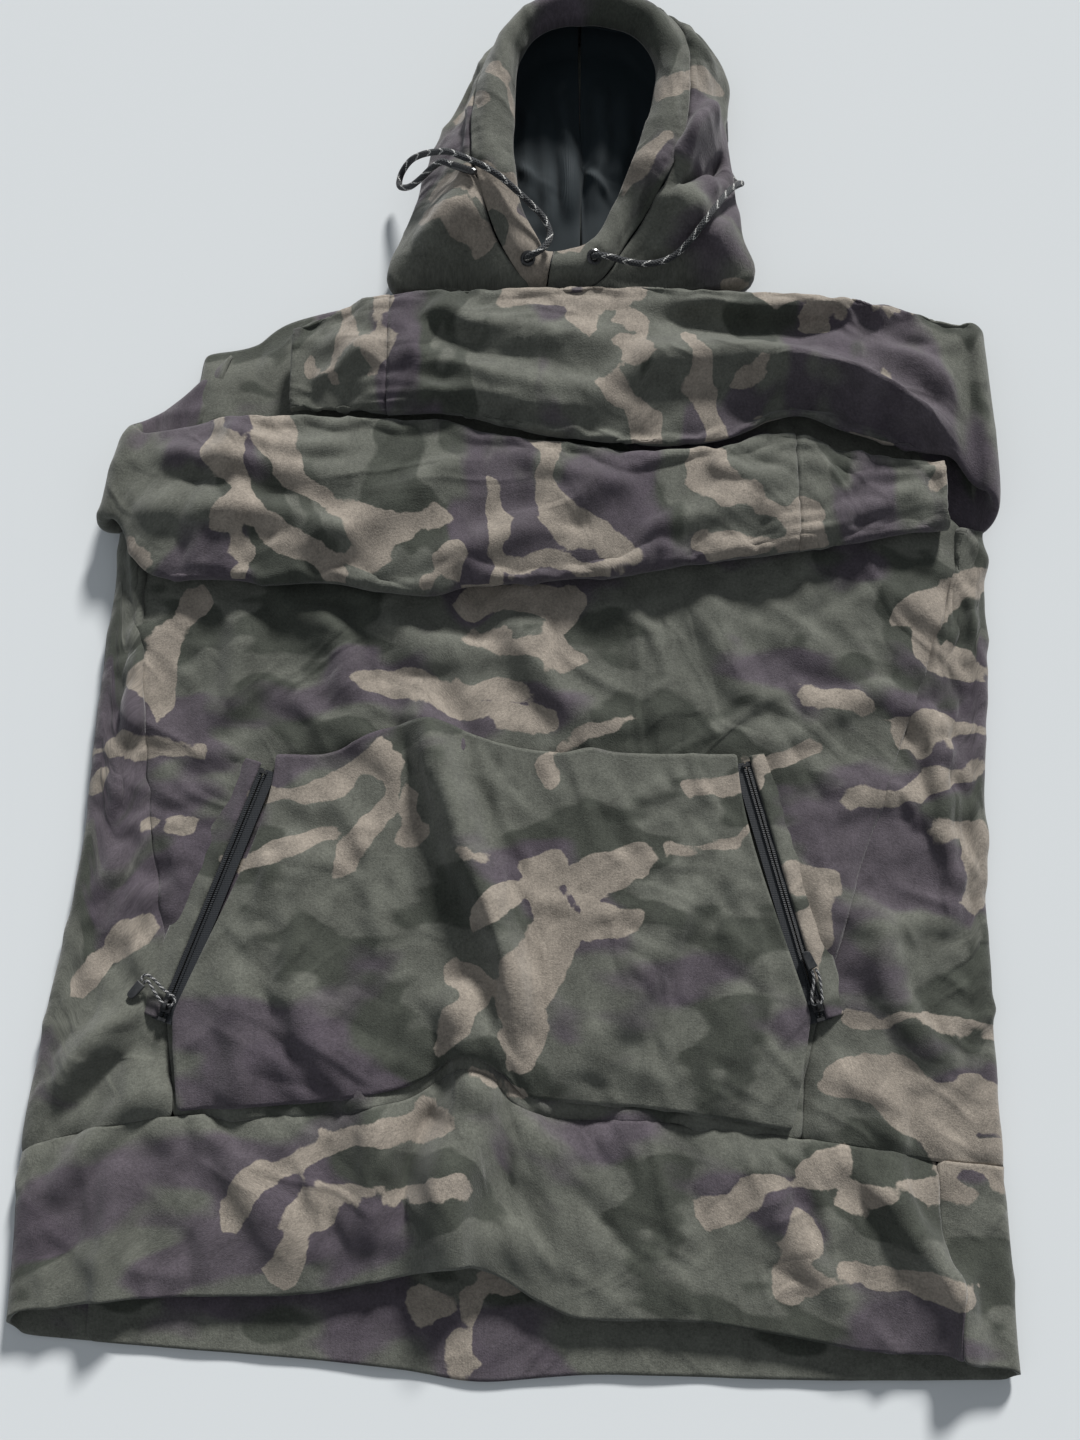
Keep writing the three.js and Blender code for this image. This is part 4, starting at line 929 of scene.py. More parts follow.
def cut_body(sheet, rows):
    """The settled sheet as a grid, and the pieces of cloth that it is sewn from."""
    grid = points_of(sheet).reshape(rows, COLUMNS, 3)
    x, y = grid[..., 0], grid[..., 1]
    roof = np.where(y > 0.02, ROOF_UNDER_SLEEVES, ROOF)
    grid[..., 2] = np.clip(grid[..., 2], BACK_Z, roof)
    grid[BAND_ROWS:, ..., 2] -= 0.0032 * under_pocket(x, y)[BAND_ROWS:]
    uv = cut_pattern(grid)
    uv[..., 0] = lengths(grid, 1) - lengths(grid, 1)[:, (RIGHT_COLUMN + LEFT_COLUMN) // 2, None]
    uv[ARMPIT_ROW:, :, 0] = grid[ARMPIT_ROW:, :, 0]
    above = np.zeros(x.shape, bool)
    above[:, UNDER + 3:-(UNDER + 3)] = True
    tan = np.where(above, tan_field(x, y, BODY_TAN), printed_field(uv, 3))
    front = slice(RIGHT_COLUMN, LEFT_COLUMN + 1)
    panels = slice(BAND_ROWS, None)
    side_rows = slice(BAND_ROWS, ARMPIT_ROW + 1)
    right, left = slice(0, RIGHT_COLUMN + 1), slice(LEFT_COLUMN, None)
    for name, rows, columns, seams, replaced in (
            ("front_cloth", panels, front, ["first_row", "first_column", "last_column"], "front_panel"),
            ("right_side_cloth", side_rows, right, ["first_row", "last_column"], "side_panel_right"),
            ("left_side_cloth", side_rows, left, ["first_row", "first_column"], "side_panel_left")):
        cloth_piece(name, "garment", seam_edges(grid[rows, columns], seams), uv[rows, columns],
                    tan[rows, columns], CAMO, [replaced], levels=2)
    band = slice(0, BAND_ROWS + 1)
    seam = int(np.argmin(np.abs(x[0] - BAND_SEAM_X) + (np.arange(COLUMNS) > COLUMNS - UNDER - 3)))
    cloth_piece("waistband_front_cloth", "garment",
                seam_edges(grid[band, :seam + 1], ["last_row", "last_column"]), uv[band, :seam + 1],
                tan[band, :seam + 1], CAMO, ["waistband_front"], levels=2, thick=2.4)
    hem_back(grid[band, seam:])
    return sheet


def hem_back(start):
    """The other half of the waistband: over the left fold and under the whole body."""
    over = start[:, :-UNDER]
    fold_x = over[0, -1, 0]
    t = np.linspace(0, 1, 70)[1:]
    x = mix(fold_x, BAND_UNDER_X, t)
    v = np.linspace(0, 1, BAND_ROWS + 1)[:, None]
    low = y_at(HEM_LOW, x)
    y = mix(low[None, :], HEM_TOP, v)
    z = BACK_Z + 0.0012 * (1 + perlin(np.stack([x * 25, x * 0, x * 0], axis=1), 4))[None, :] * (1 - v)
    under = np.stack([np.broadcast_to(x, y.shape), y, np.broadcast_to(z, y.shape)], axis=-1)
    grid = np.concatenate([over, under], axis=1)
    uv = np.stack([lengths(grid, 1)[:1] * np.ones((BAND_ROWS + 1, 1)) + 1.7, lengths(grid, 0)], axis=-1)
    above = grid[..., 2] > 0.009
    tan = np.where(above, tan_field(grid[..., 0], grid[..., 1], BODY_TAN),
                   tan_field(grid[..., 0], grid[..., 1], UNDER_TAN))
    cloth_piece("waistband_back_cloth", "garment", seam_edges(grid, ["first_column"]), uv, tan, CAMO,
                ["waistband_back"], levels=2, thick=2.2, fine=0.0004)


def build_back():
    rows, columns = 60, 60
    v, u = np.meshgrid(np.linspace(0, 1, rows), np.linspace(0, 1, columns), indexing="ij")
    y = mix(HEM_TOP + 0.001, 0.205, v)
    wrap = under_wrap(y)
    right = np.where(y < ARMPIT_Y, x_at(EDGES[-1], y) + wrap, x_at(ARMHOLES[-1], y)) + 0.001
    left = np.where(y < ARMPIT_Y, x_at(EDGES[1], y) - wrap, x_at(ARMHOLES[1], y)) - 0.001
    x = mix(right, left, u)
    y = np.where(v > 0.8, mix(y, mix(y, y_at(SHOULDERS, x), smooth(0.8, 1, v)), 1), y)
    z = np.full(y.shape, BACK_Z + 0.0002)
    grid = np.stack([x, y, z], axis=-1)
    uv = np.stack([x + 2.3, y], axis=-1)
    cloth_piece("back_cloth", "garment", grid, uv, printed_field(uv, 5), CAMO, ["back_panel"],
                thick=2.0, fine=0.0)


# ---------------------------------------------------------------- pocket
def build_pocket(sheet):
    """The pouch lies on the front and shows the same folds a little softened."""
    points = points_of(sheet)
    tree = BVHTree.FromPolygons([tuple(p) for p in points], [tuple(p.vertices) for p in sheet.data.polygons])

    def ground(x, y):
        hit = tree.ray_cast((x, y, 0.2), (0, 0, -1))[0]
        return hit.z if hit else FRONT_Z

    rows, columns = 46, 74
    corners = {-1: (-225, -232), 1: (156, 171)}
    edge = {}
    for data in ZIPS.values():
        side = data["side"]
        corner, below = corners[side]
        foot_y = float(y_at(WAIST, corner * MM)) + 0.0035
        edge[side] = np.array([(corner * MM, foot_y), (below * MM, (data["foot"][1] - 4) * MM),
                               ((data["foot"][0] - side * 4.4) * MM, data["foot"][1] * MM),
                               ((data["head"][0] - side * 4.4) * MM, (data["head"][1] + 2) * MM)])
    top = curve_through(POCKET_TOP, 400)
    grid = np.zeros((rows, columns, 3))
    for i, v in enumerate(np.linspace(0, 1, rows)):
        ends = []
        for side in (-1, 1):
            y = mix(edge[side][0, 1], edge[side][-1, 1], v)
            ends.append((float(np.interp(y, edge[side][:, 1], edge[side][:, 0])), y))
        u = np.linspace(0, 1, columns)
        x = mix(ends[0][0], ends[1][0], u)
        low_y = y_at(WAIST, mix(corners[-1][0], corners[1][0], u) * MM) + 0.0035
        high = top[np.round(u * 399).astype(int)]
        y = mix(low_y, high[:, 1], v)
        grid[i, :, 0] = mix(x, mix(x, high[:, 0], 1), v ** 3)
        grid[i, :, 1] = y
    x, y = grid[..., 0], grid[..., 1]
    floor = np.array([[ground(a, b) for a, b in zip(*line)] for line in zip(x, y)])
    v = np.linspace(0, 1, rows)[:, None] * np.ones((1, columns))
    u = np.linspace(0, 1, columns)[None, :] * np.ones((rows, 1))
    inside = smooth(0, 0.06, u) * smooth(0, 0.06, 1 - u)
    puff = 0.0022 + 0.0018 * inside * smooth(0, 0.1, v) * smooth(0, 0.12, 1 - v)
    z = np.maximum(floor + puff, 0.0178)
    z = mix(0.0192, z, smooth(0, 0.03, u) * smooth(0, 0.03, 1 - u))
    z = np.where(v < 0.08, np.minimum(z, mix(floor + 0.0025, z, smooth(0, 0.08, v))), z)
    grid[..., 2] = z
    uv = np.stack([x, y + 0.351], axis=-1)
    return cloth_piece("pocket_cloth", "garment", seam_edges(grid, ["first_row"], 0.001),
                       uv, tan_field(x, y, BODY_TAN), CAMO, ["pocket_panel"])


def build_welts():
    """The front panel's folded edge beside each zip."""
    for name, data in ZIPS.items():
        foot, along, across = zip_frame(name)
        v = np.linspace(-0.003, 0.171, 60)[:, None]
        profile = [(4.1, 17.9), (4.0, 18.9), (4.6, 19.7), (6.5, 19.8), (9.5, 18.6), (13, 16.4), (17, 14.6),
                   (20, 13.6)]
        u = data["side"] * np.array([p[0] for p in profile])[None, :] * MM
        z = np.array([p[1] for p in profile])[None, :] * MM
        z = z + 0.0004 * np.sin(v * 260 + u * 300) * (np.abs(u) < 0.012)
        x = foot[0] + along[0] * v + across[0] * u
        y = foot[1] + along[1] * v + across[1] * u
        grid = np.stack([x, y, z * np.ones_like(x)], axis=-1)
        if data["side"] < 0:
            grid = grid[:, ::-1]
        uv = grid[..., :2] + np.array([0, 0.351])
        made = mesh_object(f"zip_welt_{name}", grid, grid_faces(*grid.shape[:2]))
        dress(made, uv, tan_field(grid[..., 0], grid[..., 1], BODY_TAN), CAMO)
        finer(made, 1)
        shell = made.modifiers.new("thickness", "SOLIDIFY")
        shell.thickness = 0.0008
        shell.offset = 0
        apply_modifiers(made)
        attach(made, "garment")


# ---------------------------------------------------------------- sleeves
RIGHT_SLEEVE_LOW = [(-286, 64), (-264, 26), (-193, 19), (-140, 17), (-76, 8), (-47, 15), (13, 20), (107, 32),
                    (178, 42), (277, 58)]
RIGHT_SLEEVE_TOP = [(-286, 126), (-262, 132), (-227, 137), (-163, 138), (-102, 135), (-67, 134), (-27, 124),
                    (40, 114), (73, 111), (120, 114), (178, 124), (215, 110), (277, 106)]
LEFT_SLEEVE_LOW = [(-174, 141), (-104, 138), (-67, 138), (-27, 127), (40, 117), (73, 114), (120, 117),
                   (174, 136), (207, 127), (240, 118), (272, 112), (299, 108)]
LEFT_SLEEVE_TOP = [(-174, 205), (-104, 229), (-27, 233), (41, 236), (109, 233), (210, 227), (270, 219),
                   (299, 211)]
RIGHT_SLEEVE_FOLDS = [
    ([(-290, 60), (-240, 70), (-170, 62), (-110, 34)], 6, 13),
    ([(-280, 110), (-215, 104), (-150, 88), (-95, 96)], 6, 12),
    ([(-230, 128), (-170, 112), (-120, 116)], 4.5, 10),
    ([(-190, 28), (-130, 50), (-70, 92), (-30, 108)], 5, 12),
    ([(-90, 26), (-40, 40), (20, 70), (60, 98)], 4.5, 12),
    ([(-20, 110), (30, 92), (70, 84)], 4, 11),
    ([(60, 46), (110, 62), (165, 84)], 4, 11),
    ([(110, 104), (140, 92), (172, 88)], 4, 8),
    ([(190, 60), (230, 74), (270, 84)], 3, 9),
    ([(-250, 90), (-200, 84), (-150, 74)], -5, 9),
    ([(-60, 60), (0, 66), (40, 54)], -4, 10),
]
LEFT_SLEEVE_FOLDS = [
    ([(30, 150), (75, 172), (120, 178), (165, 172), (215, 158), (262, 134), (296, 110)], 15, 11),
    ([(60, 212), (110, 205), (170, 200), (220, 206), (285, 176)], -7, 13),
    ([(120, 130), (160, 148), (190, 146), (240, 128), (285, 118)], -8, 10),
    ([(-170, 190), (-110, 182), (-50, 168), (20, 152), (80, 140)], 6, 13),
    ([(-90, 222), (-40, 200), (20, 190), (70, 196)], 6, 14),
    ([(-100, 150), (-50, 150), (0, 140), (50, 134)], 5, 9),
    ([(-80, 206), (-30, 182), (30, 172)], -4, 9),
    ([(80, 226), (150, 220), (230, 216)], 4, 10),
    ([(230, 200), (262, 180), (292, 150)], 6, 10),
    ([(-160, 160), (-130, 172), (-110, 190)], 4, 9),
]


def sleeve_rings(side, fold, low_line, top_line, mouth, rise):
    """Rings of points along a sleeve: out of the armhole, round the fold and back across the chest."""
    low, top = curve_through(low_line), curve_through(top_line)
    around = 64
    turn_x = fold * MM + side * 0.002
    under_z, over_z = SLEEVE_UNDER_Z, SLEEVE_REST_Z + SLEEVE_HALF_Z
    radius = (over_z + rise * 0.4 - under_z) / 2
    start_x = turn_x - side * 0.040
    stations = []
    for t in np.linspace(0, 1, 8, endpoint=False):
        stations.append((mix(start_x, turn_x, t), under_z, 0.0, t * 0.5, "under"))
    for t in np.linspace(0, 1, 11, endpoint=False):
        stations.append((turn_x, under_z + radius, math.pi * t, 0.5 + t * 0.5, "turn"))
    reach = abs(mouth * MM - turn_x)
    count = int(reach / 0.006)
    for t in np.linspace(0, 1, count + 1):
        stations.append((mix(turn_x, mouth * MM, t), 0, math.pi, t, "over"))
    rings = []
    facts = []
    for x, z, angle, t, stretch in stations:
        gap = abs(x - turn_x) if stretch == "over" else 0
        line_x = np.clip(x, min(mouth, fold) * MM, max(mouth, fold) * MM)
        lo, hi = [float(y_at(line[np.argsort(line[:, 0])], line_x)) for line in (low, top)]
        fold_low = lo if side < 0 else 0.058
        if stretch == "under":
            lo, hi = mix(ARMPIT_Y + 0.006, fold_low, t * 2), mix(0.196, max(hi, 0.150), t * 2)
            half_height = mix(0.0062, 0.0045, t * 2)
        elif stretch == "turn":
            lo = mix(fold_low, mix(fold_low, lo, 0.55), t * 2 - 1)
            hi = mix(max(hi, 0.150), hi, t * 2 - 1)
            half_height = 0.0045
        else:
            lo = mix(mix(fold_low, lo, 0.55), lo, smooth(0, 0.020, gap))
            half_height = mix(0.0045, 0.0115, smooth(0, 0.085, gap))
            half_height = mix(half_height, 0.0078, smooth(0.7, 1, t) if reach > 0.5 else smooth(0.8, 1, t))
        facts.append((lo, hi, half_height, stretch, gap, t))
        bottom = SLEEVE_REST_Z + rise * smooth(0.02, 0.12, gap)
        if stretch == "over":
            centre = np.array([x, bottom + half_height + 0.0006 + (0.004 * (1 - smooth(0, 0.05, gap)))])
        elif stretch == "turn":
            centre = np.array([turn_x + side * radius * math.sin(angle),
                               under_z + radius * (1 - math.cos(angle))])
        else:
            centre = np.array([x, z])
        out = np.array([side * math.sin(angle), -math.cos(angle)])
        ring = []
        for k in range(around):
            a = 2 * math.pi * k / around
            c, s = math.cos(a), math.sin(a)
            across = np.sign(c) * abs(c) ** 0.66
            up = np.sign(s) * abs(s) ** 0.8
            y = (lo + hi) / 2 + (hi - lo - 0.002) / 2 * across
            offset = half_height * up
            px = centre[0] + (out[0] * offset if stretch == "turn" else 0)
            pz = centre[1] + offset * {"under": -1, "turn": out[1], "over": 1}[stretch]
            slope = 0.22 * (y - lo) * (1 - smooth(0.0, 0.10, gap)) * (1 if side < 0 else 0.12)
            ring.append((px - side * slope, y, pz))
        rings.append(ring)
    return np.array(rings), facts, around


def build_sleeve(side, name, fold, cuff, mouth, lines, rise, folds, patches, bodies, replaced, bend):
    """One sleeve and its cuff. fold, cuff and mouth are the x of the sleeve's fold, cuff seam and end, in
    millimetres."""
    rings, facts, around = sleeve_rings(side, fold, *lines, mouth, rise)
    count = len(rings)
    stretch = np.array([f[3] == "over" for f in facts])
    gap = np.array([f[4] for f in facts])[:, None]
    angle = 2 * np.pi * np.arange(around) / around
    over = stretch[:, None] * np.ones((1, around))
    topside = np.clip(np.sin(angle), 0, 1)[None, :] ** 0.35 * over
    seam_row = int(np.argmin(np.abs(rings[:, 0, 0] - cuff * MM) + 10 * (1 - stretch)))
    rows = np.arange(count)[:, None]
    from_seam = np.abs(rings[:, :1, 0] - cuff * MM)
    lift = fold_field(folds, rings[..., 0], rings[..., 1], 1.5, 0.8)
    lift = lift * topside * smooth(0.0, 0.02, gap) * (0.35 + 0.65 * smooth(0, 0.02, from_seam))
    rings[..., 2] += 0.4 * lift
    gathers = np.sin(angle * 17 + 2 * np.sin(angle * 3))[None, :] * np.exp(-(from_seam / 0.016) ** 2)
    rings[..., 2] += 0.0011 * gathers * over * np.sign(np.sin(angle))[None, :]
    tube = mesh_object(name, rings, grid_faces(count, around, closed=True))
    pins = 1 - topside * smooth(0.012, 0.05, gap) * smooth(0.002, 0.02, from_seam)
    pins = np.maximum(pins, (rows == count - 1) * 0.6)
    settled = simulate(tube, pins, 22, grow=0.03, bending=2.0, gravity=0.15, pressure=-1.2 * side)
    moved = np.clip(settled.reshape(rings.shape) - rings, -0.004, 0.006)
    rings = rings + moved + 0.4 * moved * np.array([0, 0, 1])
    bpy.data.objects.remove(tube)
    rings[..., 2] += 0.75 * lift
    floor = 0.0175 + rise * smooth(0.02, 0.12, gap)
    kept_up = np.maximum(rings[..., 2], floor + 0.0008 + 0.008 * topside)
    rings[..., 2] = np.where(over > 0, kept_up, rings[..., 2])
    # the print runs across the sleeve, so its long axis is u along the ring
    run = lengths(rings, 0)[:, :1] * np.ones((1, around))
    turn = lengths(rings, 1)
    uv = np.stack([turn + (4.37 if side > 0 else 2.0), run], axis=-1)
    hand = tan_field(rings[..., 0], rings[..., 1], patches)
    shown = topside > 0.4
    tan = np.where(shown, hand, printed_field(uv, 7 + side))
    pieces = [(slice(0, seam_row + 1), "sleeve", ["last_row"]),
              (slice(seam_row, count), "cuff", ["first_row"])]
    for part, kind, seams in pieces:
        grid = seam_edges(rings[part], seams, 0.0012)
        bent = bend if kind == "sleeve" else None
        cloth_piece(f"{kind}_{name}_cloth", bodies[kind], grid, uv[part], tan[part], CAMO, replaced[kind],
                    closed=True, bend=bent, fine=0.0008,
                    heading=0.6)


# ---------------------------------------------------------------- hood
HOOD_CENTRE = np.array([0.030, 0.350])
OPENING = [(6, 262), (38, 271), (55, 303), (71, 334), (83, 375), (86, 410), (68, 438), (34, 447), (2, 440),
           (-17, 415), (-21, 375), (-22, 334), (-17, 302), (-4, 274)]
HOOD_OUTLINE = [(10, 234), (80, 239), (150, 249), (146, 285), (143, 324), (138, 383), (140, 412), (128, 440),
                (95, 468), (50, 482), (5, 474), (-30, 448), (-62, 391), (-84, 341), (-93, 300), (-108, 247),
                (-60, 240)]
RIM_LOW, RIM_HIGH = 0.034, 0.050
BAND_WIDTH = 0.026
HOOD_UNDER = 0.018
HOOD_FOLDS = [
    # the roll and valley on the left, the flap on the right, and soft folds
    ([(52, 300), (78, 316), (104, 336), (124, 364), (138, 392)], 12, 9),
    ([(74, 300), (98, 312), (124, 332), (138, 352)], -12, 8),
    ([(84, 330), (100, 372), (104, 410)], -8, 8),
    ([(96, 440), (116, 420), (134, 404)], 5, 9),
    ([(-24, 430), (-32, 390), (-33, 340), (-26, 300)], 5, 8),
    ([(-48, 420), (-52, 380), (-56, 340), (-70, 300)], -5, 11),
    ([(-88, 262), (-64, 282), (-40, 290)], 5, 12),
    ([(-70, 330), (-50, 318), (-30, 312)], 4, 9),
    ([(0, 462), (40, 468), (80, 456)], 4, 10),
    ([(92, 262), (110, 280), (126, 286)], 4, 12),
]


def closed_curve(points, count=720):
    """A smooth loop through the points."""
    p = np.array([*points, *points[:3]], float)
    return curve_through([points[-1], *p], count * 2)


def polar(points):
    """A loop as angles about the hood's centre, in order, and the radius at each."""
    loop = closed_curve(points)
    d = loop - HOOD_CENTRE
    angle = np.mod(np.arctan2(d[:, 1], d[:, 0]), 2 * np.pi)
    radius = np.hypot(d[:, 0], d[:, 1])
    order = np.argsort(angle)
    return angle[order], radius[order]


OPENING_POLAR = polar(OPENING)
OUTLINE_POLAR = polar(HOOD_OUTLINE)


def radius_at(line, angle):
    """The radius of a polar line at that angle."""
    return np.interp(np.mod(angle, 2 * np.pi), line[0], line[1], period=2 * np.pi)


def hood_point(r, angle, z):
    """The point at that radius, angle and height about the hood's centre."""
    return np.stack([HOOD_CENTRE[0] + r * np.cos(angle), HOOD_CENTRE[1] + r * np.sin(angle), z], axis=-1)


def rim_height(angle):
    """The height of the opening's rim: low at the neck and high at the crown."""
    return mix(RIM_LOW, RIM_HIGH, smooth(-0.99, -0.45, np.sin(angle)))


def at_neck(angle):
    """1 at the neck, falling to 0 up the sides."""
    return 1 - smooth(-0.86, -0.6, np.sin(angle))


def hood_top(angle, s):
    """The hood's upper surface, with s from 0 at the opening to 1 at the outline."""
    r = mix(radius_at(OPENING_POLAR, angle), radius_at(OUTLINE_POLAR, angle), s)
    neck = at_neck(angle)
    edge = mix(0.018, 0.0125, neck)
    crest = 0.007 * np.sin(np.pi * np.minimum(1, s * 1.25)) * (1 - neck)
    z = mix(edge, rim_height(angle), 1 - np.clip(s, 0, 1) ** 2.6) + crest
    return hood_point(r, angle, z)


def band_share(angle, extra=0.0):
    """The share of the way out at which the band round the opening ends."""
    reach = radius_at(OUTLINE_POLAR, angle) - radius_at(OPENING_POLAR, angle)
    return (np.minimum(BAND_WIDTH, reach - 0.006) + extra) / reach


def hood_angle(k):
    """The angle of the hood's k-th spoke, in steps of 9 degrees."""
    return np.radians(-103 + 9 * np.asarray(k, float))


def hood_lift(points):
    """The height of the hood's folds, with no ridge under the drawcord."""
    lift = fold_field(HOOD_FOLDS, points[..., 0], points[..., 1], 1.5, 0.9)
    return np.where(lift > 0, lift * off_cords(points[..., 0], points[..., 1]), lift)


def build_hood_panel(name, first, last, replaced, seams):
    stations = np.linspace(first, last, (last - first) * 4 + 1)
    angle = hood_angle(stations)[:, None]
    angle[0] += math.radians(0.2)
    angle[-1] -= math.radians(0.2)
    u = np.linspace(0, 1, 22)[None, :]
    over = hood_top(angle, mix(band_share(angle, 0.0020), 0.94, u))
    edge_fade = smooth(0, 0.18, u) * smooth(0, 0.35, 1 - u) * np.ones_like(angle)
    over[..., 2] += hood_lift(over) * edge_fade * (1 - 0.8 * at_neck(angle))
    t = np.linspace(0, 1, 11)[None, 1:]
    stops = np.linspace(0, 1, 5)
    inset = np.interp(t, stops, [0.003, 0.0012, 0.0025, 0.009, HOOD_UNDER])
    height = np.interp(t, stops, [0.0235, 0.016, 0.007, BACK_Z, BACK_Z])
    r = radius_at(OUTLINE_POLAR, angle) - inset
    wrapped = hood_point(r, angle, np.ones_like(angle) * height)
    plain = hood_top(angle, mix(0.95, 1.0, t))
    rest = mix(wrapped, plain, at_neck(angle)[..., None])
    grid = np.concatenate([over, rest], axis=1)
    uv = np.stack([grid[..., 0] + 5, grid[..., 1]], axis=-1)
    uv[..., 1] += 0.8 * np.maximum(0, 0.03 - grid[..., 2])
    by_hand = tan_field(grid[..., 0], grid[..., 1], HOOD_TAN)
    tan = np.where(grid[..., 2] > 0.012, by_hand, printed_field(uv, 6))
    cloth_piece(name, "garment", seam_edges(grid, seams), uv, tan, CAMO, [replaced])


def band_surface(angle, share):
    points = hood_top(angle, share * band_share(angle))
    points[..., 2] += 0.004 * np.sin(np.pi * np.clip(share, 0, 1))
    return points


def build_band():
    stations = np.linspace(0.03, 39.97, 190)
    angle = hood_angle(stations)[:, None]
    share = np.concatenate([[-0.06, -0.05, -0.02], np.linspace(0.03, 1, 14)])[None, :]
    grid = band_surface(angle, share)
    grid[:, 0, 2] -= 0.0062
    grid[:, 1, 2] -= 0.0030
    grid[..., 2] -= 0.0012 * np.exp(-((share - 0.82) / 0.05) ** 2)
    pucker = np.sin(np.arange(len(stations)) * 1.9)[:, None] * np.exp(-((share - 0.82) / 0.14) ** 2)
    grid[..., 2] += 0.0004 * pucker
    run = lengths(grid, 0)[:, 8:9] * np.ones_like(share)
    uv = np.stack([run + 7, share * 0.026 * np.ones_like(angle)], axis=-1)
    tan = np.maximum(tan_field(grid[..., 0], grid[..., 1], HOOD_TAN), printed_field(uv, 8))
    band = cloth_piece("hood_band_cloth", "garment", grid, uv, tan, CAMO, ["hood_band"], thick=2.6,
                       fine=0.0004)
    return band


LINING_CREASES = [
    ([(14, 425), (20, 373), (22, 300)], 6, 6), ([(2, 400), (4, 350), (8, 290)], 4, 6),
    ([(44, 430), (46, 380), (38, 310)], 6, 7), ([(62, 420), (64, 380), (54, 330)], 4, 6),
    ([(32, 436), (34, 380), (30, 286)], -3, 3), ([(-8, 410), (-10, 360), (-6, 310)], 4, 5),
]
# (share of the way out, share of the height), from the rim out under the panels and in along the bottom
LINING_PROFILE = [(0.02, 0.80), (0.3, 0.70), (0.5, 0.48), (0.42, 0.2), (0.1, 0.02), (-0.45, 0), (-0.995, 0)]


def build_lining():
    fine = curve_through([(a / MM, b / MM) for a, b in LINING_PROFILE], 34)
    for name, first, last, replaced in (("lining_left_cloth", -89.4, 89.4, "hood_lining_left"),
                                        ("lining_right_cloth", 90.6, 269.4, "hood_lining_right")):
        angle = np.radians(np.linspace(first, last, 60))[:, None]
        inner, outer = radius_at(OPENING_POLAR, angle), radius_at(OUTLINE_POLAR, angle)
        s, h = fine[None, :, 0], fine[None, :, 1]
        r = np.where(s > 0, mix(inner, outer, s * 0.9), inner * (1 + s))
        z = mix(0.0044, rim_height(angle) - 0.0025, h)
        grid = hood_point(r, angle, z)
        grid[..., 2] += fold_field(LINING_CREASES, grid[..., 0], grid[..., 1]) * smooth(0.25, 0.0, h)
        uv = grid[..., :2] + np.array([9, 0])
        cloth_piece(name, "garment", grid[:, ::-1], uv[:, ::-1], None, LINING, [replaced], thick=1.0,
                    fine=0.0006)


def build_hood_back():
    angle = np.linspace(0, 2 * np.pi, 96, endpoint=False)[:, None]
    neck = at_neck(angle)
    edge = radius_at(OUTLINE_POLAR, angle) - mix(HOOD_UNDER + 0.0018, -0.001, neck)
    share = np.linspace(0.02, 1, 22)[None, :]
    r = edge * share
    grid = hood_point(r, angle, np.full(r.shape, BACK_Z + 0.0002))
    grid[..., 1] = np.maximum(grid[..., 1], y_at(SHOULDERS, grid[..., 0]) + 0.0015)
    grid = grid.swapaxes(0, 1)[::-1]
    uv = grid[..., :2] + np.array([11, 0])
    cloth_piece("hood_back_cloth", "garment", grid, uv, printed_field(uv, 12), CAMO, ["hood_panel_back"],
                thick=1.9, closed=True, flat=(0.24, 0.26), fine=0.0)


# ---------------------------------------------------------------- cords
LEFT_CORD = [(37.8, 258, 34), (38.6, 256.1, 40.2), (41.5, 254, 44.6), (48, 252.5, 45.5), (58, 251, 43),
             (70, 251, 39), (83, 253, 37), (95, 258, 38), (106, 267, 43), (116, 279, 48), (124, 291, 46),
             (131, 303, 41), (138, 314, 35), (145, 323, 27), (147.5, 331, 16), (145, 339, 6),
             (141.5, 349, 2.7), (139, 362, 2.7), (139, 376, 2.7)]
RIGHT_CORD = [(-7.2, 257.2, 34), (-8.9, 254.7, 39.8), (-7, 253.6, 44.6), (-1, 255.5, 47), (5, 262, 46.5),
              (7, 272, 44), (2, 284, 45), (-7, 292, 49), (-17, 299, 54.5), (-28, 306, 60), (-40, 313, 62),
              (-53, 321, 60), (-65, 330, 54), (-76, 337, 44), (-86, 342, 34), (-95, 344, 24), (-102, 339, 16),
              (-103, 329, 16), (-95, 322, 25), (-86, 320, 37), (-77, 321, 48), (-69, 320, 56.5),
              (-61, 315.5, 59)]
PULL_LOOPS = {
    "left": [(2.5, 21), (2.5, 17), (0.9, 11.8), (-1.7, 6.8), (-3, 2.5), (-1.8, 0), (1.8, 0), (3.6, 1.9),
             (4.4, 6.5), (5.6, 12), (5.9, 17), (5.1, 21.4)],
    "right": [(-18.3, 7.1), (-18, 8.7), (-16.6, 9.4), (-13.6, 7.4), (-9, 3.9), (-4.4, 1), (-1.8, 0), (1.8, 0),
              (4.2, 1.8), (3.6, 5.2), (0, 6.4), (-6, 8.2), (-13, 11.5), (-18, 12.8), (-20.6, 11.3),
              (-20.7, 8)],
}
CORD_R = 2.25 * MM
PULL_R = 0.9 * MM


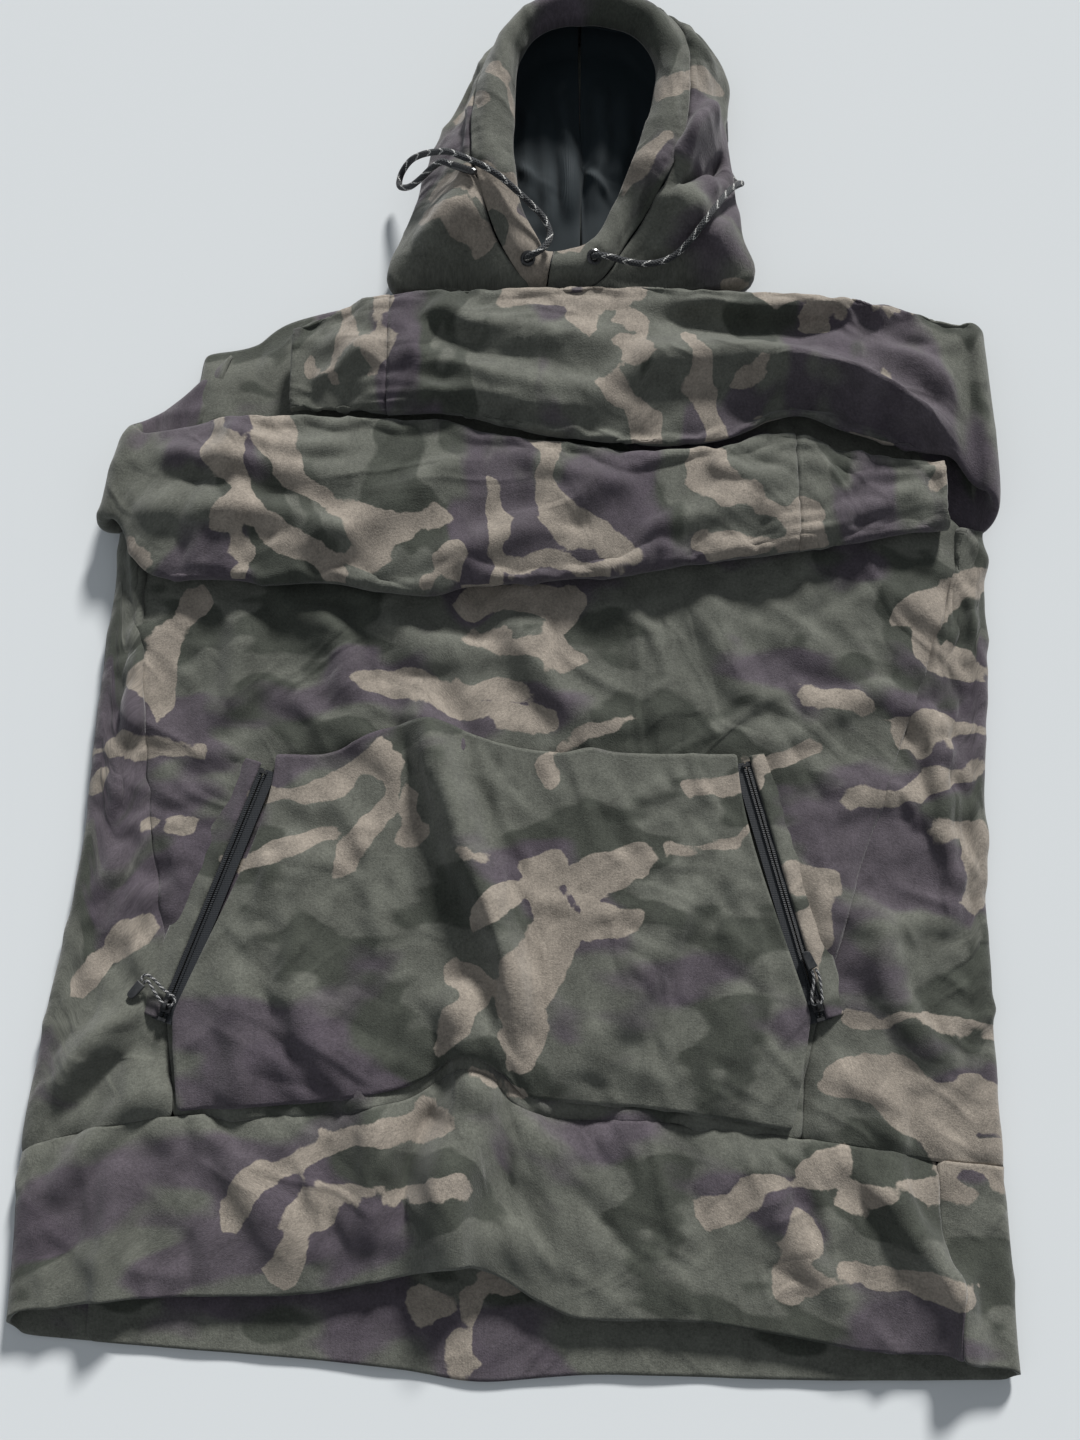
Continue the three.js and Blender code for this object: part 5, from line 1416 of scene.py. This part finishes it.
def tube(name, path, radius, material, around=14):
    """A round tube along a path, with its own length and turn as attributes."""
    tangent = np.gradient(path, axis=0)
    tangent /= np.linalg.norm(tangent, axis=1, keepdims=True)
    side = np.cross(tangent[0], (0, 0, 1))
    if np.linalg.norm(side) < 0.1:
        side = np.cross(tangent[0], (0, 1, 0))
    frames = []
    for t in tangent:
        side = side - t * (side @ t)
        side = side / np.linalg.norm(side)
        frames.append((side, np.cross(t, side)))
    angle = 2 * np.pi * np.arange(around) / around
    rings = np.array([p + radius * (np.cos(angle)[:, None] * a + np.sin(angle)[:, None] * b)
                      for p, (a, b) in zip(path, frames)])
    faces = grid_faces(len(path), around, closed=True)
    faces.append(tuple(range(around))[::-1])
    last = (len(path) - 1) * around
    faces.append(tuple(range(last, last + around)))
    made = mesh_object(name, rings, faces)
    run = np.concatenate([[0], np.cumsum(np.linalg.norm(np.diff(path, axis=0), axis=1))])
    set_attribute(made, "run", np.repeat(run, around))
    fold = np.abs(np.linspace(-1, 1, around + 1)[:-1])
    set_attribute(made, "turn", np.tile(fold, len(path)))
    made.data.materials.append(material)
    return made, float(run[-1])


def build_cords():
    for name, points in (("left", LEFT_CORD), ("right", RIGHT_CORD)):
        path = curve_through(points, 180)
        made, length = tube(f"drawcord_{name}", path, CORD_R, DRAWCORD)
        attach(made, "garment")
        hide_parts(f"drawcord_end_{name}")
    for name, loop in PULL_LOOPS.items():
        foot, along, across = zip_frame(name)
        middle = foot + along * 0.007
        flat = curve_through(loop, 90)
        path = np.stack([*(middle[:, None] + across[:, None] * flat[:, 0] + along[:, None] * flat[:, 1]),
                         np.full(len(flat), 0.0233)], axis=1)
        made, length = tube(f"pull_loop_{name}", path, PULL_R, PULL_CORD, 10)
        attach(made, f"zip_pull_{name}")
        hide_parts(f"zip_pull_cord_{name}")


def finish_hardware():
    for name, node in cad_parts.items():
        material = None
        if name.startswith("zip_tape"):
            material = ZIP_TAPE
        elif name.startswith("zip_teeth"):
            material = ZIP_TEETH
        elif name.startswith("zip_pull_grip"):
            material = PLASTIC
        elif name.startswith(("eyelet", "cord_tip")) or "stop" in name or "slider" in name:
            material = METAL
        elif name == "drawcord_in_band":
            material = HIDDEN_CORD
        if material is None:
            continue
        node.data.materials.clear()
        node.data.materials.append(material)
        if name.startswith(("zip_pull_grip", "cord_tip", "zip_slider")):
            bevel = node.modifiers.new("soft edges", "BEVEL")
            bevel.width = 0.00022
            bevel.segments = 2
            bevel.limit_method = "ANGLE"


build_stage()
CAMO = camouflage("camouflage_fleece")
LINING = lining_cloth()
DRAWCORD = braided_cord("drawcord", (0.62, 0.62, 0.60, 1), 0.014, 0.17)
PULL_CORD = braided_cord("pull_cord", (0.50, 0.50, 0.50, 1), 0.004, 0.42)
HIDDEN_CORD = black_finish("hidden_cord", (0.010, 0.011, 0.013, 1), (0.02, 0.022, 0.025, 1), 0.7, 0.0, 0.0)
ZIP_TAPE = zip_tape()
ZIP_TEETH = zip_teeth()
METAL = black_finish("black_metal", (0.006, 0.006, 0.008, 1), (0.020, 0.021, 0.024, 1), 0.26, 0.6, 0.25)
PLASTIC = black_finish("black_plastic", (0.006, 0.007, 0.009, 1), (0.016, 0.018, 0.022, 1), 0.36, 0.0, 0.15)
build_cords()
build_back()
sheet, rows = build_body()
cut_body(sheet, rows)
build_pocket(sheet)
build_welts()
bpy.data.objects.remove(sheet)
build_sleeve(-1, "right", -286, 177, 277, (RIGHT_SLEEVE_LOW, RIGHT_SLEEVE_TOP), 0.0,
             RIGHT_SLEEVE_FOLDS, RIGHT_SLEEVE_TAN, {"sleeve": "garment", "cuff": "garment"},
             {"sleeve": ["sleeve_head_right", "sleeve_right"], "cuff": ["cuff_right"]}, None)
build_sleeve(1, "left", 299, -104, -172, (LEFT_SLEEVE_LOW, LEFT_SLEEVE_TOP), LEFT_SLEEVE_RISE,
             LEFT_SLEEVE_FOLDS, LEFT_SLEEVE_TAN, {"sleeve": "garment", "cuff": "upper_sleeve"},
             {"sleeve": ["sleeve_head_left", "sleeve_left"], "cuff": ["cuff_left"]},
             ((0.30, 0.16, 0.011), (0.30, 0.16, 0.021)))
build_hood_back()
build_hood_panel("hood_left_cloth", 0, 18, "hood_panel_left", ["first_column", "last_row"])
build_hood_panel("hood_crown_cloth", 18, 25, "hood_panel_crown", ["first_column", "first_row", "last_row"])
build_hood_panel("hood_right_cloth", 25, 40, "hood_panel_right", ["first_column", "first_row"])
build_lining()
build_band()
finish_hardware()
